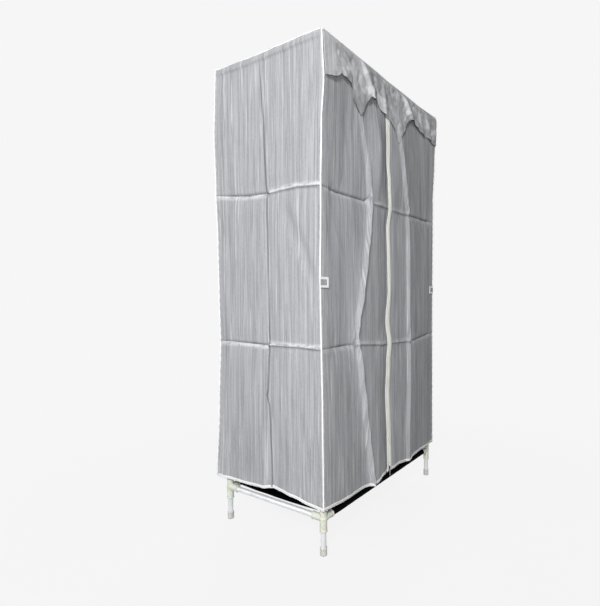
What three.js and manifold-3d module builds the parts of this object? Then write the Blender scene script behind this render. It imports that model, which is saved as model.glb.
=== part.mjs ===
// A portable fabric wardrobe: a plugged-together tube frame under a sewn non-woven cover.
// Millimetres, +Z up, the front looks towards -Y, the origin is on the floor under the middle.

import * as THREE from 'three';
import { mergeVertices } from 'three/addons/utils/BufferGeometryUtils.js';
import Module from 'manifold-3d';

const wasm = await Module();
wasm.setup();

// Frame sizes, between the axes of the legs
const totalHeight = 1700;
const frameWidth = 800;
const frameDepth = 455;
const bottomRailHeight = 125;
const midRailHeight = 900;
const clearance = 0.3;

// Steel tubes
const tubeDiameter = 19;
const tubeWall = 1;
const tubeRadius = tubeDiameter / 2;
const boreRadius = tubeRadius + clearance;

// Plastic connectors and foot caps
const sleeveWall = 3.2;
const sleeveRadius = boreRadius + sleeveWall;
const socketReach = 45;
const legSocketReach = 42;
const postSocketReach = 35;
const coreHalf = 13;
const capDiameter = 24;
const capHeight = 28;
const capFloor = 4;
const capChamfer = 1.5;

// Cover sizes
const clothThickness = 1.2;
const coverEaseAcross = 2.4;
const coverEaseDeep = 0.4;
const hemFlareAcross = 6;
const hemFlareDeep = 9;
const hemHeight = 158;
const hemRise = 20;
const hemBindingHeight = 11;
const hemBindingThickness = 2.4;
const pipingDiameter = 5;
const lowerCreaseHeight = 672;
const upperCreaseHeight = 1200;
const creaseDepth = 3;
const creaseReach = 60;
const foldFadeHeight = 330;

// Folds of the cover cloth
const frontFoldDepth = 9;
const frontFoldReach = 48;
const frontDipDepth = 5;
const frontDipReach = 55;
const backFoldDepth = 9;
const backFoldReach = 70;
const flankFoldDepth = 7;
const flankFoldReach = 90;
const flankSwellDepth = 3;

// Valance, zip and tie-back tabs
const valanceDrop = 205;
const valanceStand = 13;
const valanceTopStand = 1.8;
const valanceTopGap = 0.5;
const valanceEndGap = 3.3;
const tapeWidth = 14;
const teethGap = 2;
const sliderWidth = 11;
const sliderHeight = 15;
const sliderPlate = 1.2;
const sliderBridge = 1.4;
const sliderBridgeHeight = 5;
const sliderLift = 6;
const earWidth = 1.6;
const earHeight = 4;
const earReach = 3.2;
const pullerPinDiameter = 1.6;
const pullerThickness = 1.4;
const pullerWidth = 5;
const pullerLength = 32;
const tabWidth = 40;
const tabHeight = 38;
const tabThickness = 2;
const tabCentreHeight = 890;
const tabFaceGap = 0.5;

// Hanging rail and bottom shelf
const hangingRailDrop = 45;
const hangerClipLength = 26;
const hangerClipWeb = 10;
const hangerClipEnd = 6;
const shelfThickness = 1.5;
const shelfSleeveGap = 1.5;
const shelfSideGap = 9.5;
const shelfCornerCut = 14;

// How finely round and folded pieces are faceted
const tubeSides = 12;
const ballRings = 6;
const pipingSides = 8;
const pinSides = 8;
const overrun = 1;

// Places worked out from the sizes above
const legX = frameWidth / 2;
const legY = frameDepth / 2;
const coreStop = coreHalf + clearance;
const pipingRadius = pipingDiameter / 2;
const seamHeight = totalHeight - pipingRadius;
const topRailHeight = seamHeight - clothThickness / 2 - clearance - sleeveRadius;
const topHalfWidth = legX + sleeveRadius + coverEaseAcross + clothThickness / 2;
const topHalfDepth = legY + sleeveRadius + coverEaseDeep + clothThickness / 2;
const seamSetBack = pipingRadius + clearance;
const clothTop = seamHeight - seamSetBack;
const tapeEdge = teethGap / 2 + tapeWidth + clearance;

const towardsX = new THREE.Vector3(1, 0, 0);
const towardsY = new THREE.Vector3(0, 1, 0);
const towardsZ = new THREE.Vector3(0, 0, 1);

const finishes = {
  cover: { color: 0xb3b5bd, roughness: 0.85, metalness: 0 },
  valance: { color: 0xc6c8cf, roughness: 0.8, metalness: 0 },
  binding: { color: 0xf2f2ef, roughness: 0.7, metalness: 0 },
  zipTape: { color: 0xebe6da, roughness: 0.8, metalness: 0 },
  zipMetal: { color: 0x2b2b2d, roughness: 0.4, metalness: 0.8 },
  tube: { color: 0xd9dcdd, roughness: 0.35, metalness: 0.3 },
  connector: { color: 0xe4e4d6, roughness: 0.5, metalness: 0 },
  blackCloth: { color: 0x17171a, roughness: 0.9, metalness: 0 },
};

const wardrobe = new THREE.Group();

// Names a geometry, gives it its finish and puts it in its place
function addPiece(name, geometry, finish, place = new THREE.Vector3()) {
  const piece = new THREE.Mesh(geometry, new THREE.MeshStandardMaterial(finishes[finish]));
  piece.name = name;
  piece.position.copy(place);
  wardrobe.add(piece);
}

// Turns a geometry made along Y so that it runs along another axis
function aimed(geometry, direction) {
  const turn = new THREE.Quaternion().setFromUnitVectors(towardsY, direction);
  return geometry.applyQuaternion(turn);
}

// Keeps only the shared corners of a closed geometry and makes it a solid for joining and cutting
function solidOf(geometry) {
  const bare = geometry.clone();
  bare.deleteAttribute('normal');
  bare.deleteAttribute('uv');
  const merged = mergeVertices(bare);
  return new wasm.Manifold(new wasm.Mesh({
    numProp: 3,
    vertProperties: new Float32Array(merged.attributes.position.array),
    triVerts: new Uint32Array(merged.index.array),
  }));
}

function geometryOf(solid) {
  const mesh = solid.getMesh();
  const geometry = new THREE.BufferGeometry();
  geometry.setAttribute('position', new THREE.BufferAttribute(mesh.vertProperties, 3));
  geometry.setIndex(new THREE.BufferAttribute(mesh.triVerts, 1));
  return geometry;
}

// A round bar between two distances along a direction from the origin
function bar(radius, from, to, direction, sides = tubeSides) {
  const geometry = new THREE.CylinderGeometry(radius, radius, to - from, sides);
  geometry.translate(0, (from + to) / 2, 0);
  return aimed(geometry, direction);
}

// A round bar along straight stretches, mitred where it turns about an axis
function mitredBar(points, radius, sides, turnAxis) {
  const directions = points.slice(1).map((point, i) => point.clone().sub(points[i]).normalize());
  const positions = [];
  points.forEach((point, i) => {
    const before = directions[Math.max(0, i - 1)];
    const after = directions[Math.min(directions.length - 1, i)];
    const tangent = before.clone().add(after).normalize();
    const stretch = radius / tangent.dot(before);
    const sideways = turnAxis.clone().cross(tangent).normalize();
    for (let corner = 0; corner < sides; corner += 1) {
      const angle = (2 * Math.PI * corner) / sides;
      const vertex = point.clone().addScaledVector(sideways, stretch * Math.cos(angle));
      vertex.addScaledVector(turnAxis, radius * Math.sin(angle));
      positions.push(vertex.x, vertex.y, vertex.z);
    }
  });
  const index = [];
  for (let ring = 0; ring + 1 < points.length; ring += 1) {
    for (let corner = 0; corner < sides; corner += 1) {
      const here = ring * sides + corner;
      const next = ring * sides + ((corner + 1) % sides);
      index.push(here, next, here + sides, next, next + sides, here + sides);
    }
  }
  const last = (points.length - 1) * sides;
  for (let corner = 1; corner + 1 < sides; corner += 1) {
    index.push(0, corner + 1, corner, last, last + corner, last + corner + 1);
  }
  const geometry = new THREE.BufferGeometry();
  geometry.setAttribute('position', new THREE.Float32BufferAttribute(positions, 3));
  geometry.setIndex(index);
  return geometry;
}

function tube(length, direction) {
  const innerRadius = tubeRadius - tubeWall;
  const profile = [
    new THREE.Vector2(innerRadius, 0),
    new THREE.Vector2(tubeRadius, 0),
    new THREE.Vector2(tubeRadius, length),
    new THREE.Vector2(innerRadius, length),
    new THREE.Vector2(innerRadius, 0),
  ];
  return aimed(new THREE.LatheGeometry(profile, tubeSides), direction);
}

// A plastic connector: sleeves meet at a closed core, and a tube stops against it in each socket
function connector(sockets) {
  let body = solidOf(aimed(new THREE.SphereGeometry(sleeveRadius, tubeSides, ballRings), towardsZ));
  for (const { direction, reach } of sockets) {
    body = body.add(solidOf(bar(sleeveRadius, 0, reach, direction)));
  }
  for (const { direction, reach } of sockets) {
    body = body.subtract(solidOf(bar(boreRadius, coreHalf, reach + overrun, direction)));
  }
  return geometryOf(body);
}

const corners = [
  { name: 'front_left', x: -1, y: -1 },
  { name: 'front_right', x: 1, y: -1 },
  { name: 'rear_left', x: -1, y: 1 },
  { name: 'rear_right', x: 1, y: 1 },
];

function footCap() {
  const capRadius = capDiameter / 2;
  const profile = [
    new THREE.Vector2(0, 0),
    new THREE.Vector2(capRadius - capChamfer, 0),
    new THREE.Vector2(capRadius, capChamfer),
    new THREE.Vector2(capRadius, capHeight),
    new THREE.Vector2(boreRadius, capHeight),
    new THREE.Vector2(boreRadius, capFloor),
    new THREE.Vector2(0, capFloor),
  ];
  return aimed(new THREE.LatheGeometry(profile, tubeSides), towardsZ);
}

// One corner post from the floor up: cap, leg, connector, post, connector, post, connector
function addPost({ name, x, y }) {
  const inwardX = towardsX.clone().multiplyScalar(-x);
  const inwardY = towardsY.clone().multiplyScalar(-y);
  const down = towardsZ.clone().negate();
  const at = (height) => new THREE.Vector3(x * legX, y * legY, height);
  const legBottom = capFloor + clearance;
  const legTop = bottomRailHeight - coreStop;
  const lowerBottom = bottomRailHeight + coreStop;
  const lowerTop = midRailHeight - coreStop;
  const upperBottom = midRailHeight + coreStop;
  const upperTop = topRailHeight - coreStop;
  const bottomSockets = [
    { direction: down, reach: legSocketReach },
    { direction: towardsZ, reach: postSocketReach },
    { direction: inwardX, reach: socketReach },
    { direction: inwardY, reach: socketReach },
  ];
  const midSockets = [
    { direction: down, reach: postSocketReach },
    { direction: towardsZ, reach: postSocketReach },
    { direction: inwardY, reach: socketReach },
  ];
  const topSockets = [
    { direction: down, reach: postSocketReach },
    { direction: inwardX, reach: socketReach },
    { direction: inwardY, reach: socketReach },
  ];
  addPiece(`foot_cap_${name}`, footCap(), 'connector', at(0));
  addPiece(`leg_tube_${name}`, tube(legTop - legBottom, towardsZ), 'tube', at(legBottom));
  addPiece(`bottom_connector_${name}`, connector(bottomSockets), 'connector', at(bottomRailHeight));
  addPiece(`lower_upright_${name}`, tube(lowerTop - lowerBottom, towardsZ), 'tube', at(lowerBottom));
  addPiece(`mid_connector_${name}`, connector(midSockets), 'connector', at(midRailHeight));
  addPiece(`upper_upright_${name}`, tube(upperTop - upperBottom, towardsZ), 'tube', at(upperBottom));
  addPiece(`top_connector_${name}`, connector(topSockets), 'connector', at(topRailHeight));
}

// Rails run between the cores of the connectors
function addRails() {
  const acrossStart = -legX + coreStop;
  const deepStart = -legY + coreStop;
  const levels = [
    { name: 'bottom_rail', height: bottomRailHeight, hasFrontAndRear: true },
    { name: 'mid_rail', height: midRailHeight, hasFrontAndRear: false },
    { name: 'top_rail', height: topRailHeight, hasFrontAndRear: true },
  ];
  for (const { name, height, hasFrontAndRear } of levels) {
    for (const [side, x] of [['left', -legX], ['right', legX]]) {
      const place = new THREE.Vector3(x, deepStart, height);
      addPiece(`${name}_${side}`, tube(-2 * deepStart, towardsY), 'tube', place);
    }
    if (hasFrontAndRear) {
      for (const [side, y] of [['front', -legY], ['rear', legY]]) {
        const place = new THREE.Vector3(acrossStart, y, height);
        addPiece(`${name}_${side}`, tube(-2 * acrossStart, towardsX), 'tube', place);
      }
    }
  }
}

// The rail for hangers lies in two clips that ring the side rails of the top frame
function addHangingRail() {
  const railHeight = topRailHeight - hangingRailDrop;
  for (const [side, x] of [['left', -1], ['right', 1]]) {
    const inward = towardsX.clone().multiplyScalar(-x);
    const web = new THREE.BoxGeometry(hangerClipWeb, hangerClipLength, hangingRailDrop);
    web.translate(0, 0, -hangingRailDrop / 2);
    const socket = bar(sleeveRadius, -hangerClipEnd, hangerClipLength, inward);
    const socketBore = bar(boreRadius, 0, hangerClipLength + overrun, inward);
    socket.translate(0, 0, -hangingRailDrop);
    socketBore.translate(0, 0, -hangingRailDrop);
    const halfLength = hangerClipLength / 2;
    const ring = bar(sleeveRadius, -halfLength, halfLength, towardsY);
    const ringBore = bar(boreRadius, -halfLength - overrun, halfLength + overrun, towardsY);
    const clip = solidOf(ring).add(solidOf(web)).add(solidOf(socket));
    const bored = clip.subtract(solidOf(ringBore)).subtract(solidOf(socketBore));
    const place = new THREE.Vector3(x * legX, 0, topRailHeight);
    addPiece(`rail_clip_${side}`, geometryOf(bored), 'connector', place);
  }
  const railStart = -legX + clearance;
  const place = new THREE.Vector3(railStart, 0, railHeight);
  addPiece('hanging_rail', tube(-2 * railStart, towardsX), 'tube', place);
}

// Black cloth shelf: a flat sheet, cut away at the connectors, with a sleeve round each long rail
function addShelf() {
  const sleeveEnd = legX - socketReach - shelfSleeveGap;
  const sleeveOuter = boreRadius + shelfThickness;
  const notchY = legY - sleeveRadius - shelfSleeveGap;
  const sheetEnd = legX - tubeRadius - shelfSideGap;
  const sideEndY = notchY - shelfCornerCut;
  const outline = new THREE.Shape();
  outline.moveTo(-sleeveEnd, -legY);
  outline.lineTo(sleeveEnd, -legY);
  outline.lineTo(sleeveEnd, -notchY);
  outline.lineTo(sheetEnd, -sideEndY);
  outline.lineTo(sheetEnd, sideEndY);
  outline.lineTo(sleeveEnd, notchY);
  outline.lineTo(sleeveEnd, legY);
  outline.lineTo(-sleeveEnd, legY);
  outline.lineTo(-sleeveEnd, notchY);
  outline.lineTo(-sheetEnd, sideEndY);
  outline.lineTo(-sheetEnd, -sideEndY);
  outline.lineTo(-sleeveEnd, -notchY);
  const sheet = new THREE.ExtrudeGeometry(outline, { depth: shelfThickness, bevelEnabled: false });
  sheet.translate(0, 0, boreRadius);
  let shelf = solidOf(sheet);
  for (const y of [-legY, legY]) {
    const sleeve = bar(sleeveOuter, -sleeveEnd, sleeveEnd, towardsX).translate(0, y, 0);
    shelf = shelf.add(solidOf(sleeve));
  }
  for (const y of [-legY, legY]) {
    const bore = bar(boreRadius, -sleeveEnd - overrun, sleeveEnd + overrun, towardsX);
    shelf = shelf.subtract(solidOf(bore.translate(0, y, 0)));
  }
  const place = new THREE.Vector3(0, 0, bottomRailHeight);
  addPiece('bottom_shelf', geometryOf(shelf), 'blackCloth', place);
}

// Reads a hand-chosen table of [place, value] pairs, in straight steps or eased ones
function readTable(table, place, eased) {
  if (place <= table[0][0]) return table[0][1];
  const next = table.findIndex(([stop]) => stop >= place);
  if (next < 0) return table[table.length - 1][1];
  const [before, valueBefore] = table[next - 1];
  const [after, valueAfter] = table[next];
  const share = (place - before) / (after - before);
  const easeShare = eased ? share * share * (3 - 2 * share) : share;
  return THREE.MathUtils.lerp(valueBefore, valueAfter, easeShare);
}

// The four upright faces of the cover, seen from outside: which way is right and which is out
const faces = {
  front: { right: towardsX, out: towardsY.clone().negate() },
  back: { right: towardsX.clone().negate(), out: towardsY },
  left: { right: towardsY.clone().negate(), out: towardsX.clone().negate() },
  right: { right: towardsY, out: towardsX },
};

function flareShare(height) {
  return (seamHeight - height) / (seamHeight - hemHeight);
}

function halfWidthAt(height) {
  return topHalfWidth + hemFlareAcross * flareShare(height);
}

function halfDepthAt(height) {
  return topHalfDepth + hemFlareDeep * flareShare(height);
}

function faceDistance(face, height) {
  return face.out.x === 0 ? halfDepthAt(height) : halfWidthAt(height);
}

function faceHalfSpan(face, height) {
  return face.out.x === 0 ? halfWidthAt(height) : halfDepthAt(height);
}

// A point of a face: across to the right, up, and proud of the plane between its seams
function onFace(face, across, height, proud) {
  const point = face.right.clone().multiplyScalar(across);
  point.addScaledVector(face.out, faceDistance(face, height) + proud);
  return point.setZ(height);
}

// How far the hem rises above its mean height, as shares of the half span and of hemRise
const hemShares = {
  front: [
    [-1, 0], [-0.6, -0.1], [-0.34, -0.35], [-0.26, -1.15], [-0.21, -1.2], [-0.18, -0.35],
    [-0.03, -0.1], [0.03, -0.05], [0.25, -0.1], [0.48, -0.75], [0.55, -0.4], [0.75, -0.75], [1, -0.55],
  ],
  back: [[-1, 0], [-0.5, -0.4], [0, 0.3], [0.5, -0.3], [1, 0]],
  left: [[-1, 0], [-0.55, -0.1], [-0.05, 0.8], [0.08, 0.25], [0.5, -0.2], [0.8, -0.45], [1, -0.1]],
  right: [[-1, -0.3], [-0.4, -0.2], [0.05, 0.7], [0.5, 0.1], [1, 0]],
};

function hemAt(side, across) {
  const share = across / faceHalfSpan(faces[side], hemHeight);
  return hemHeight + hemRise * readTable(hemShares[side], share, true);
}

// Where each fold runs: shares of the total height against shares of the half span at the top
const foldShares = {
  leftDoor: [
    [0.09, -0.27], [0.29, -0.4], [0.405, -0.52], [0.62, -0.35], [0.735, -0.33], [0.81, -0.37], [0.88, -0.48],
  ],
  rightDoor: [[0.09, 0.47], [0.39, 0.49], [0.64, 0.46], [0.8, 0.38], [0.88, 0.25]],
  left: [[0.13, 0.07], [0.25, 0.015], [0.3, -0.05], [0.41, 0.01], [0.56, 0], [0.71, -0.05], [1, -0.09]],
  right: [[0.1, -0.06], [0.4, 0.02], [0.7, -0.02], [1, 0.05]],
  backLeft: [[0.1, -0.36], [0.4, -0.45], [0.7, -0.38], [1, -0.42]],
  backRight: [[0.1, 0.4], [0.4, 0.46], [0.7, 0.4], [1, 0.45]],
};

function foldAt(name, face, height) {
  const halfSpan = face.out.x === 0 ? topHalfWidth : topHalfDepth;
  return halfSpan * readTable(foldShares[name], height / totalHeight, true);
}

// Rounded hump and sharp crease, both one at the middle and nothing at their reach
function hump(distance, reach) {
  const share = Math.min(1, Math.abs(distance) / reach);
  return (1 - share * share) ** 2;
}

function crease(distance, reach) {
  return Math.max(0, 1 - Math.abs(distance) / reach);
}

// Folds die out under the top seam and at the corner seams, and packing creases cross every panel
function relief(face, foldRelief, across, height) {
  const fromSeam = faceHalfSpan(face, height) - Math.abs(across);
  const topFade = THREE.MathUtils.smoothstep(clothTop - height, 0, foldFadeHeight);
  const seamFade = THREE.MathUtils.smoothstep(fromSeam, seamSetBack, creaseReach);
  const lower = crease(height - lowerCreaseHeight, creaseReach);
  const upper = crease(height - upperCreaseHeight, creaseReach);
  return topFade * seamFade * (foldRelief - creaseDepth * (lower + upper));
}

// A closed sheet of cloth on a grid of rows and columns, thickened both ways along outAt
function clothSheet(columns, rows, pointAt, outAt, thickness) {
  const positions = [];
  for (const sign of [1, -1]) {
    for (let row = 0; row <= rows; row += 1) {
      for (let column = 0; column <= columns; column += 1) {
        const point = pointAt(column, row).addScaledVector(outAt(column), sign * thickness / 2);
        positions.push(point.x, point.y, point.z);
      }
    }
  }
  const layer = (columns + 1) * (rows + 1);
  const at = (column, row, side) => side * layer + row * (columns + 1) + column;
  const index = [];
  const addQuad = (a, b, c, d) => index.push(a, b, c, a, c, d);
  for (let row = 0; row < rows; row += 1) {
    for (let column = 0; column < columns; column += 1) {
      addQuad(at(column, row, 0), at(column + 1, row, 0), at(column + 1, row + 1, 0), at(column, row + 1, 0));
      addQuad(at(column, row, 1), at(column, row + 1, 1), at(column + 1, row + 1, 1), at(column + 1, row, 1));
    }
  }
  for (let column = 0; column < columns; column += 1) {
    addQuad(at(column, 0, 0), at(column, 0, 1), at(column + 1, 0, 1), at(column + 1, 0, 0));
    addQuad(at(column, rows, 0), at(column + 1, rows, 0), at(column + 1, rows, 1), at(column, rows, 1));
  }
  for (let row = 0; row < rows; row += 1) {
    addQuad(at(0, row, 0), at(0, row + 1, 0), at(0, row + 1, 1), at(0, row, 1));
    addQuad(at(columns, row, 0), at(columns, row, 1), at(columns, row + 1, 1), at(columns, row + 1, 0));
  }
  const geometry = new THREE.BufferGeometry();
  geometry.setAttribute('position', new THREE.Float32BufferAttribute(positions, 3));
  geometry.setIndex(index);
  return geometry;
}

// Spreads grid lines evenly within each stretch between stops, a stated number to a stretch
function gridLine(stops, counts, line) {
  let left = line;
  for (let stretch = 0; stretch < counts.length; stretch += 1) {
    if (left <= counts[stretch]) {
      return THREE.MathUtils.lerp(stops[stretch], stops[stretch + 1], left / counts[stretch]);
    }
    left -= counts[stretch];
  }
  return stops[stops.length - 1];
}

function total(counts) {
  return counts.reduce((sum, count) => sum + count, 0);
}

// An upright panel: its grid lines follow its folds, and its rows fall on the packing creases
const rowCounts = [5, 5, 2, 3];

function panel(side, columnStops, columnCounts, foldRelief, bottomAt) {
  const face = faces[side];
  const pointAt = (column, row) => {
    const bottomAcross = gridLine(columnStops(hemHeight), columnCounts, column);
    const foldTop = clothTop - foldFadeHeight;
    const rowStops = [bottomAt(bottomAcross), lowerCreaseHeight, upperCreaseHeight, foldTop, clothTop];
    const height = gridLine(rowStops, rowCounts, row);
    const across = gridLine(columnStops(height), columnCounts, column);
    return onFace(face, across, height, relief(face, foldRelief(across, height), across, height));
  };
  return clothSheet(total(columnCounts), total(rowCounts), pointAt, () => face.out, clothThickness);
}

// Left door: one high ridge with a dip between it and the zip
function leftDoorRelief(across, height) {
  const ridge = foldAt('leftDoor', faces.front, height);
  const rise = frontFoldDepth * hump(across - ridge, frontFoldReach);
  return rise - frontDipDepth * hump(across - ridge - frontFoldReach - frontDipReach / 2, frontDipReach / 2);
}

function leftDoorStops(height) {
  const ridge = foldAt('leftDoor', faces.front, height);
  const outer = -halfWidthAt(height) + seamSetBack;
  return [outer, ridge - frontFoldReach, ridge, ridge + frontFoldReach, -tapeEdge];
}

// Right door: one ridge with a dip on the side of the zip
function rightDoorRelief(across, height) {
  const ridge = foldAt('rightDoor', faces.front, height);
  const rise = frontFoldDepth * hump(across - ridge, frontFoldReach);
  return rise - frontDipDepth * hump(across - ridge + frontFoldReach + frontDipReach / 2, frontDipReach / 2);
}

function rightDoorStops(height) {
  const ridge = foldAt('rightDoor', faces.front, height);
  const outer = halfWidthAt(height) - seamSetBack;
  return [tapeEdge, ridge - frontFoldReach, ridge, ridge + frontFoldReach, outer];
}

// Side panel: a sharp packing crease down the middle, with a soft swell on both sides of it
function sideRelief(side, across, height) {
  const middle = foldAt(side, faces[side], height);
  const swellShare = crease(Math.abs(across - middle) - flankFoldReach, flankFoldReach);
  return flankSwellDepth * swellShare - flankFoldDepth * crease(across - middle, flankFoldReach);
}

function sideStops(side, height) {
  const middle = foldAt(side, faces[side], height);
  const edge = halfDepthAt(height) - seamSetBack;
  return [-edge, middle - flankFoldReach, middle, middle + flankFoldReach, edge];
}

// Back panel: two soft ridges
function backRelief(across, height) {
  const first = foldAt('backLeft', faces.back, height);
  const second = foldAt('backRight', faces.back, height);
  return backFoldDepth * (hump(across - first, backFoldReach) + hump(across - second, backFoldReach));
}

function backStops(height) {
  const first = foldAt('backLeft', faces.back, height);
  const second = foldAt('backRight', faces.back, height);
  const edge = halfWidthAt(height) - seamSetBack;
  return [-edge, first - backFoldReach, first, first + backFoldReach,
    second - backFoldReach, second, second + backFoldReach, edge];
}

const panels = {
  left: {
    name: 'cover_left_panel', counts: [2, 2, 2, 2],
    stops: (height) => sideStops('left', height),
    relief: (across, height) => sideRelief('left', across, height),
  },
  right: {
    name: 'cover_right_panel', counts: [2, 2, 2, 2],
    stops: (height) => sideStops('right', height),
    relief: (across, height) => sideRelief('right', across, height),
  },
  back: { name: 'cover_back_panel', counts: [1, 2, 2, 1, 2, 2, 1], stops: backStops, relief: backRelief },
};

function bindingTopAt(side, across) {
  return hemAt(side, across) + hemBindingHeight;
}

function addPanels() {
  for (const [side, { name, counts, stops, relief: foldRelief }] of Object.entries(panels)) {
    const bottomAt = (across) => bindingTopAt(side, across) + clearance;
    addPiece(name, panel(side, stops, counts, foldRelief, bottomAt), 'cover');
  }
  const topWidth = 2 * (topHalfWidth - seamSetBack);
  const topDepth = 2 * (topHalfDepth - seamSetBack);
  const top = new THREE.BoxGeometry(topWidth, topDepth, clothThickness);
  addPiece('cover_top_panel', top, 'cover', new THREE.Vector3(0, 0, seamHeight));
}

// Hem binding: one strip from the right front corner round the back to the left front corner
function addHemBinding() {
  const stations = [];
  for (const side of ['right', 'back', 'left']) {
    const { counts, stops } = panels[side];
    const columns = total(counts);
    for (let column = 0; column <= columns; column += 1) {
      const across = gridLine(stops(hemHeight), counts, column);
      stations.push({ side, across, out: faces[side].out });
    }
    if (side !== 'left') {
      const corner = faces[side].out.clone().add(faces[side].right);
      stations.push({ side, across: faceHalfSpan(faces[side], hemHeight), out: corner });
    }
  }
  const pointAt = (column, row) => {
    const { side, across } = stations[column];
    const height = row === 0 ? hemAt(side, across) : bindingTopAt(side, across);
    const proud = relief(faces[side], panels[side].relief(across, height), across, height);
    return onFace(faces[side], across, height, proud);
  };
  const outAt = (column) => stations[column].out;
  const strip = clothSheet(stations.length - 1, 1, pointAt, outAt, hemBindingThickness);
  addPiece('cover_hem_binding', strip, 'binding');
}

function addDoors() {
  const doorCounts = [4, 3, 3, 2];
  const reversed = [...doorCounts].reverse();
  const bottomAt = (across) => hemAt('front', across);
  const leftDoor = panel('front', leftDoorStops, doorCounts, leftDoorRelief, bottomAt);
  const rightDoor = panel('front', rightDoorStops, reversed, rightDoorRelief, bottomAt);
  addPiece('door_left_cloth', leftDoor, 'cover');
  addPiece('door_right_cloth', rightDoor, 'cover');
}

// White piping: one length up a corner seam, along the top and down the next corner, front and rear
function addPiping() {
  for (const [name, y] of [['front', -1], ['rear', 1]]) {
    const hemSide = y < 0 ? 'front' : 'back';
    const startGap = y < 0 ? 0 : hemBindingHeight + clearance;
    const [leftFoot, rightFoot] = [-1, 1].map((x) => {
      const low = hemAt(hemSide, -x * y * halfWidthAt(hemHeight)) + startGap;
      return new THREE.Vector3(x * halfWidthAt(low), y * halfDepthAt(low), low);
    });
    const leftTop = new THREE.Vector3(-topHalfWidth, y * topHalfDepth, seamHeight);
    const rightTop = new THREE.Vector3(topHalfWidth, y * topHalfDepth, seamHeight);
    const path = [leftFoot, leftTop, rightTop, rightFoot];
    addPiece(`piping_${name}`, mitredBar(path, pipingRadius, pipingSides, towardsY), 'binding');
  }
  const deepEnd = topHalfDepth - pipingRadius - clearance;
  for (const [name, x] of [['left', -1], ['right', 1]]) {
    const edge = bar(pipingRadius, -deepEnd, deepEnd, towardsY, pipingSides);
    const place = new THREE.Vector3(x * topHalfWidth, 0, seamHeight);
    addPiece(`piping_top_${name}`, edge, 'binding', place);
  }
}

// Lower edge of the valance: shares of the half width against shares of valanceDrop
const valanceDropShares = [
  [-1, 0.62], [-0.965, 0.68], [-0.87, 0.6], [-0.77, 0.48], [-0.68, 0.52], [-0.62, 0.78], [-0.465, 0.96],
  [-0.33, 0.54], [-0.25, 0.47], [-0.18, 0.52], [-0.09, 0.61], [0.03, 0.65], [0.155, 1], [0.34, 0.46],
  [0.405, 0.41], [0.505, 0.34], [0.6, 0.41], [0.77, 0.385], [0.92, 0.42], [1, 0.4],
];

// How far its lower edge stands off the doors: shares of the half width against shares of valanceStand
const valanceStandShares = [
  [-1, 0.3], [-0.87, 0.75], [-0.77, 0.4], [-0.62, 0.9], [-0.465, 0.65], [-0.33, 1], [-0.25, 0.5],
  [-0.09, 0.8], [0.03, 0.55], [0.155, 0.7], [0.34, 1], [0.505, 0.5], [0.6, 0.85], [0.77, 0.55], [1, 0.3],
];

function addValance() {
  const endAcross = topHalfWidth - valanceEndGap;
  const topHeight = clothTop - valanceTopGap;
  const columnsPerStep = 2;
  const rows = 4;
  const stops = valanceDropShares.map(([share]) => share * endAcross);
  const counts = stops.slice(1).map(() => columnsPerStep);
  const pointAt = (column, row) => {
    const across = gridLine(stops, counts, column);
    const share = across / endAcross;
    const dropShare = row / rows;
    const height = topHeight - dropShare * valanceDrop * readTable(valanceDropShares, share, false);
    const stand = (valanceStand - valanceTopStand) * readTable(valanceStandShares, share, true);
    return onFace(faces.front, across, height, valanceTopStand + Math.sqrt(dropShare) * stand);
  };
  const topDown = (column, row) => pointAt(column, rows - row);
  const cloth = clothSheet(total(counts), rows, topDown, () => faces.front.out, clothThickness);
  addPiece('valance', cloth, 'valance');
}

// Zip: two tapes a teeth gap apart, a slider whose bridge runs between them, and its puller
function addZip() {
  for (const [name, side] of [['zip_tape_left', -1], ['zip_tape_right', 1]]) {
    const inner = side * teethGap / 2;
    const outer = inner + side * tapeWidth;
    const edges = side < 0 ? [outer, inner] : [inner, outer];
    const pointAt = (column, row) => {
      const height = row === 0 ? hemAt('front', 0) : clothTop;
      return onFace(faces.front, edges[column], height, 0);
    };
    addPiece(name, clothSheet(1, 1, pointAt, () => faces.front.out, clothThickness), 'zipTape');
  }

  const sliderMiddle = hemAt('front', 0) + sliderLift + sliderHeight / 2;
  const place = onFace(faces.front, 0, sliderMiddle, 0);
  const plateY = clothThickness / 2 + clearance + sliderPlate / 2;
  const plate = (side) => {
    const block = new THREE.BoxGeometry(sliderWidth, sliderPlate, sliderHeight);
    return block.translate(0, side * plateY, 0);
  };
  const bridge = new THREE.BoxGeometry(sliderBridge, 2 * plateY, sliderBridgeHeight);
  const earInner = pullerWidth / 2 + clearance;
  const pinY = -(plateY + sliderPlate / 2 + earReach / 2);
  const earBack = -plateY;
  const earFront = pinY - earReach / 2;
  const ear = (side) => {
    const block = new THREE.BoxGeometry(earWidth, earBack - earFront, earHeight);
    return block.translate(side * (earInner + earWidth / 2), (earBack + earFront) / 2, 0);
  };
  const earOuter = earInner + earWidth;
  const pinRadius = pullerPinDiameter / 2;
  const pinHole = bar(pinRadius + clearance, -earOuter - overrun, earOuter + overrun, towardsX, pinSides);
  let slider = solidOf(plate(1)).add(solidOf(plate(-1))).add(solidOf(bridge));
  slider = slider.add(solidOf(ear(1))).add(solidOf(ear(-1)));
  slider = slider.subtract(solidOf(pinHole.translate(0, pinY, 0)));
  addPiece('zip_slider', geometryOf(slider), 'zipMetal', place);

  const pin = bar(pinRadius, -earOuter, earOuter, towardsX, pinSides);
  const blade = new THREE.BoxGeometry(pullerWidth, pullerThickness, pullerLength);
  blade.translate(0, 0, pinRadius - pullerLength / 2);
  const puller = geometryOf(solidOf(pin).add(solidOf(blade)));
  addPiece('zip_puller', puller, 'zipMetal', place.clone().add(new THREE.Vector3(0, pinY, 0)));
}

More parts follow.
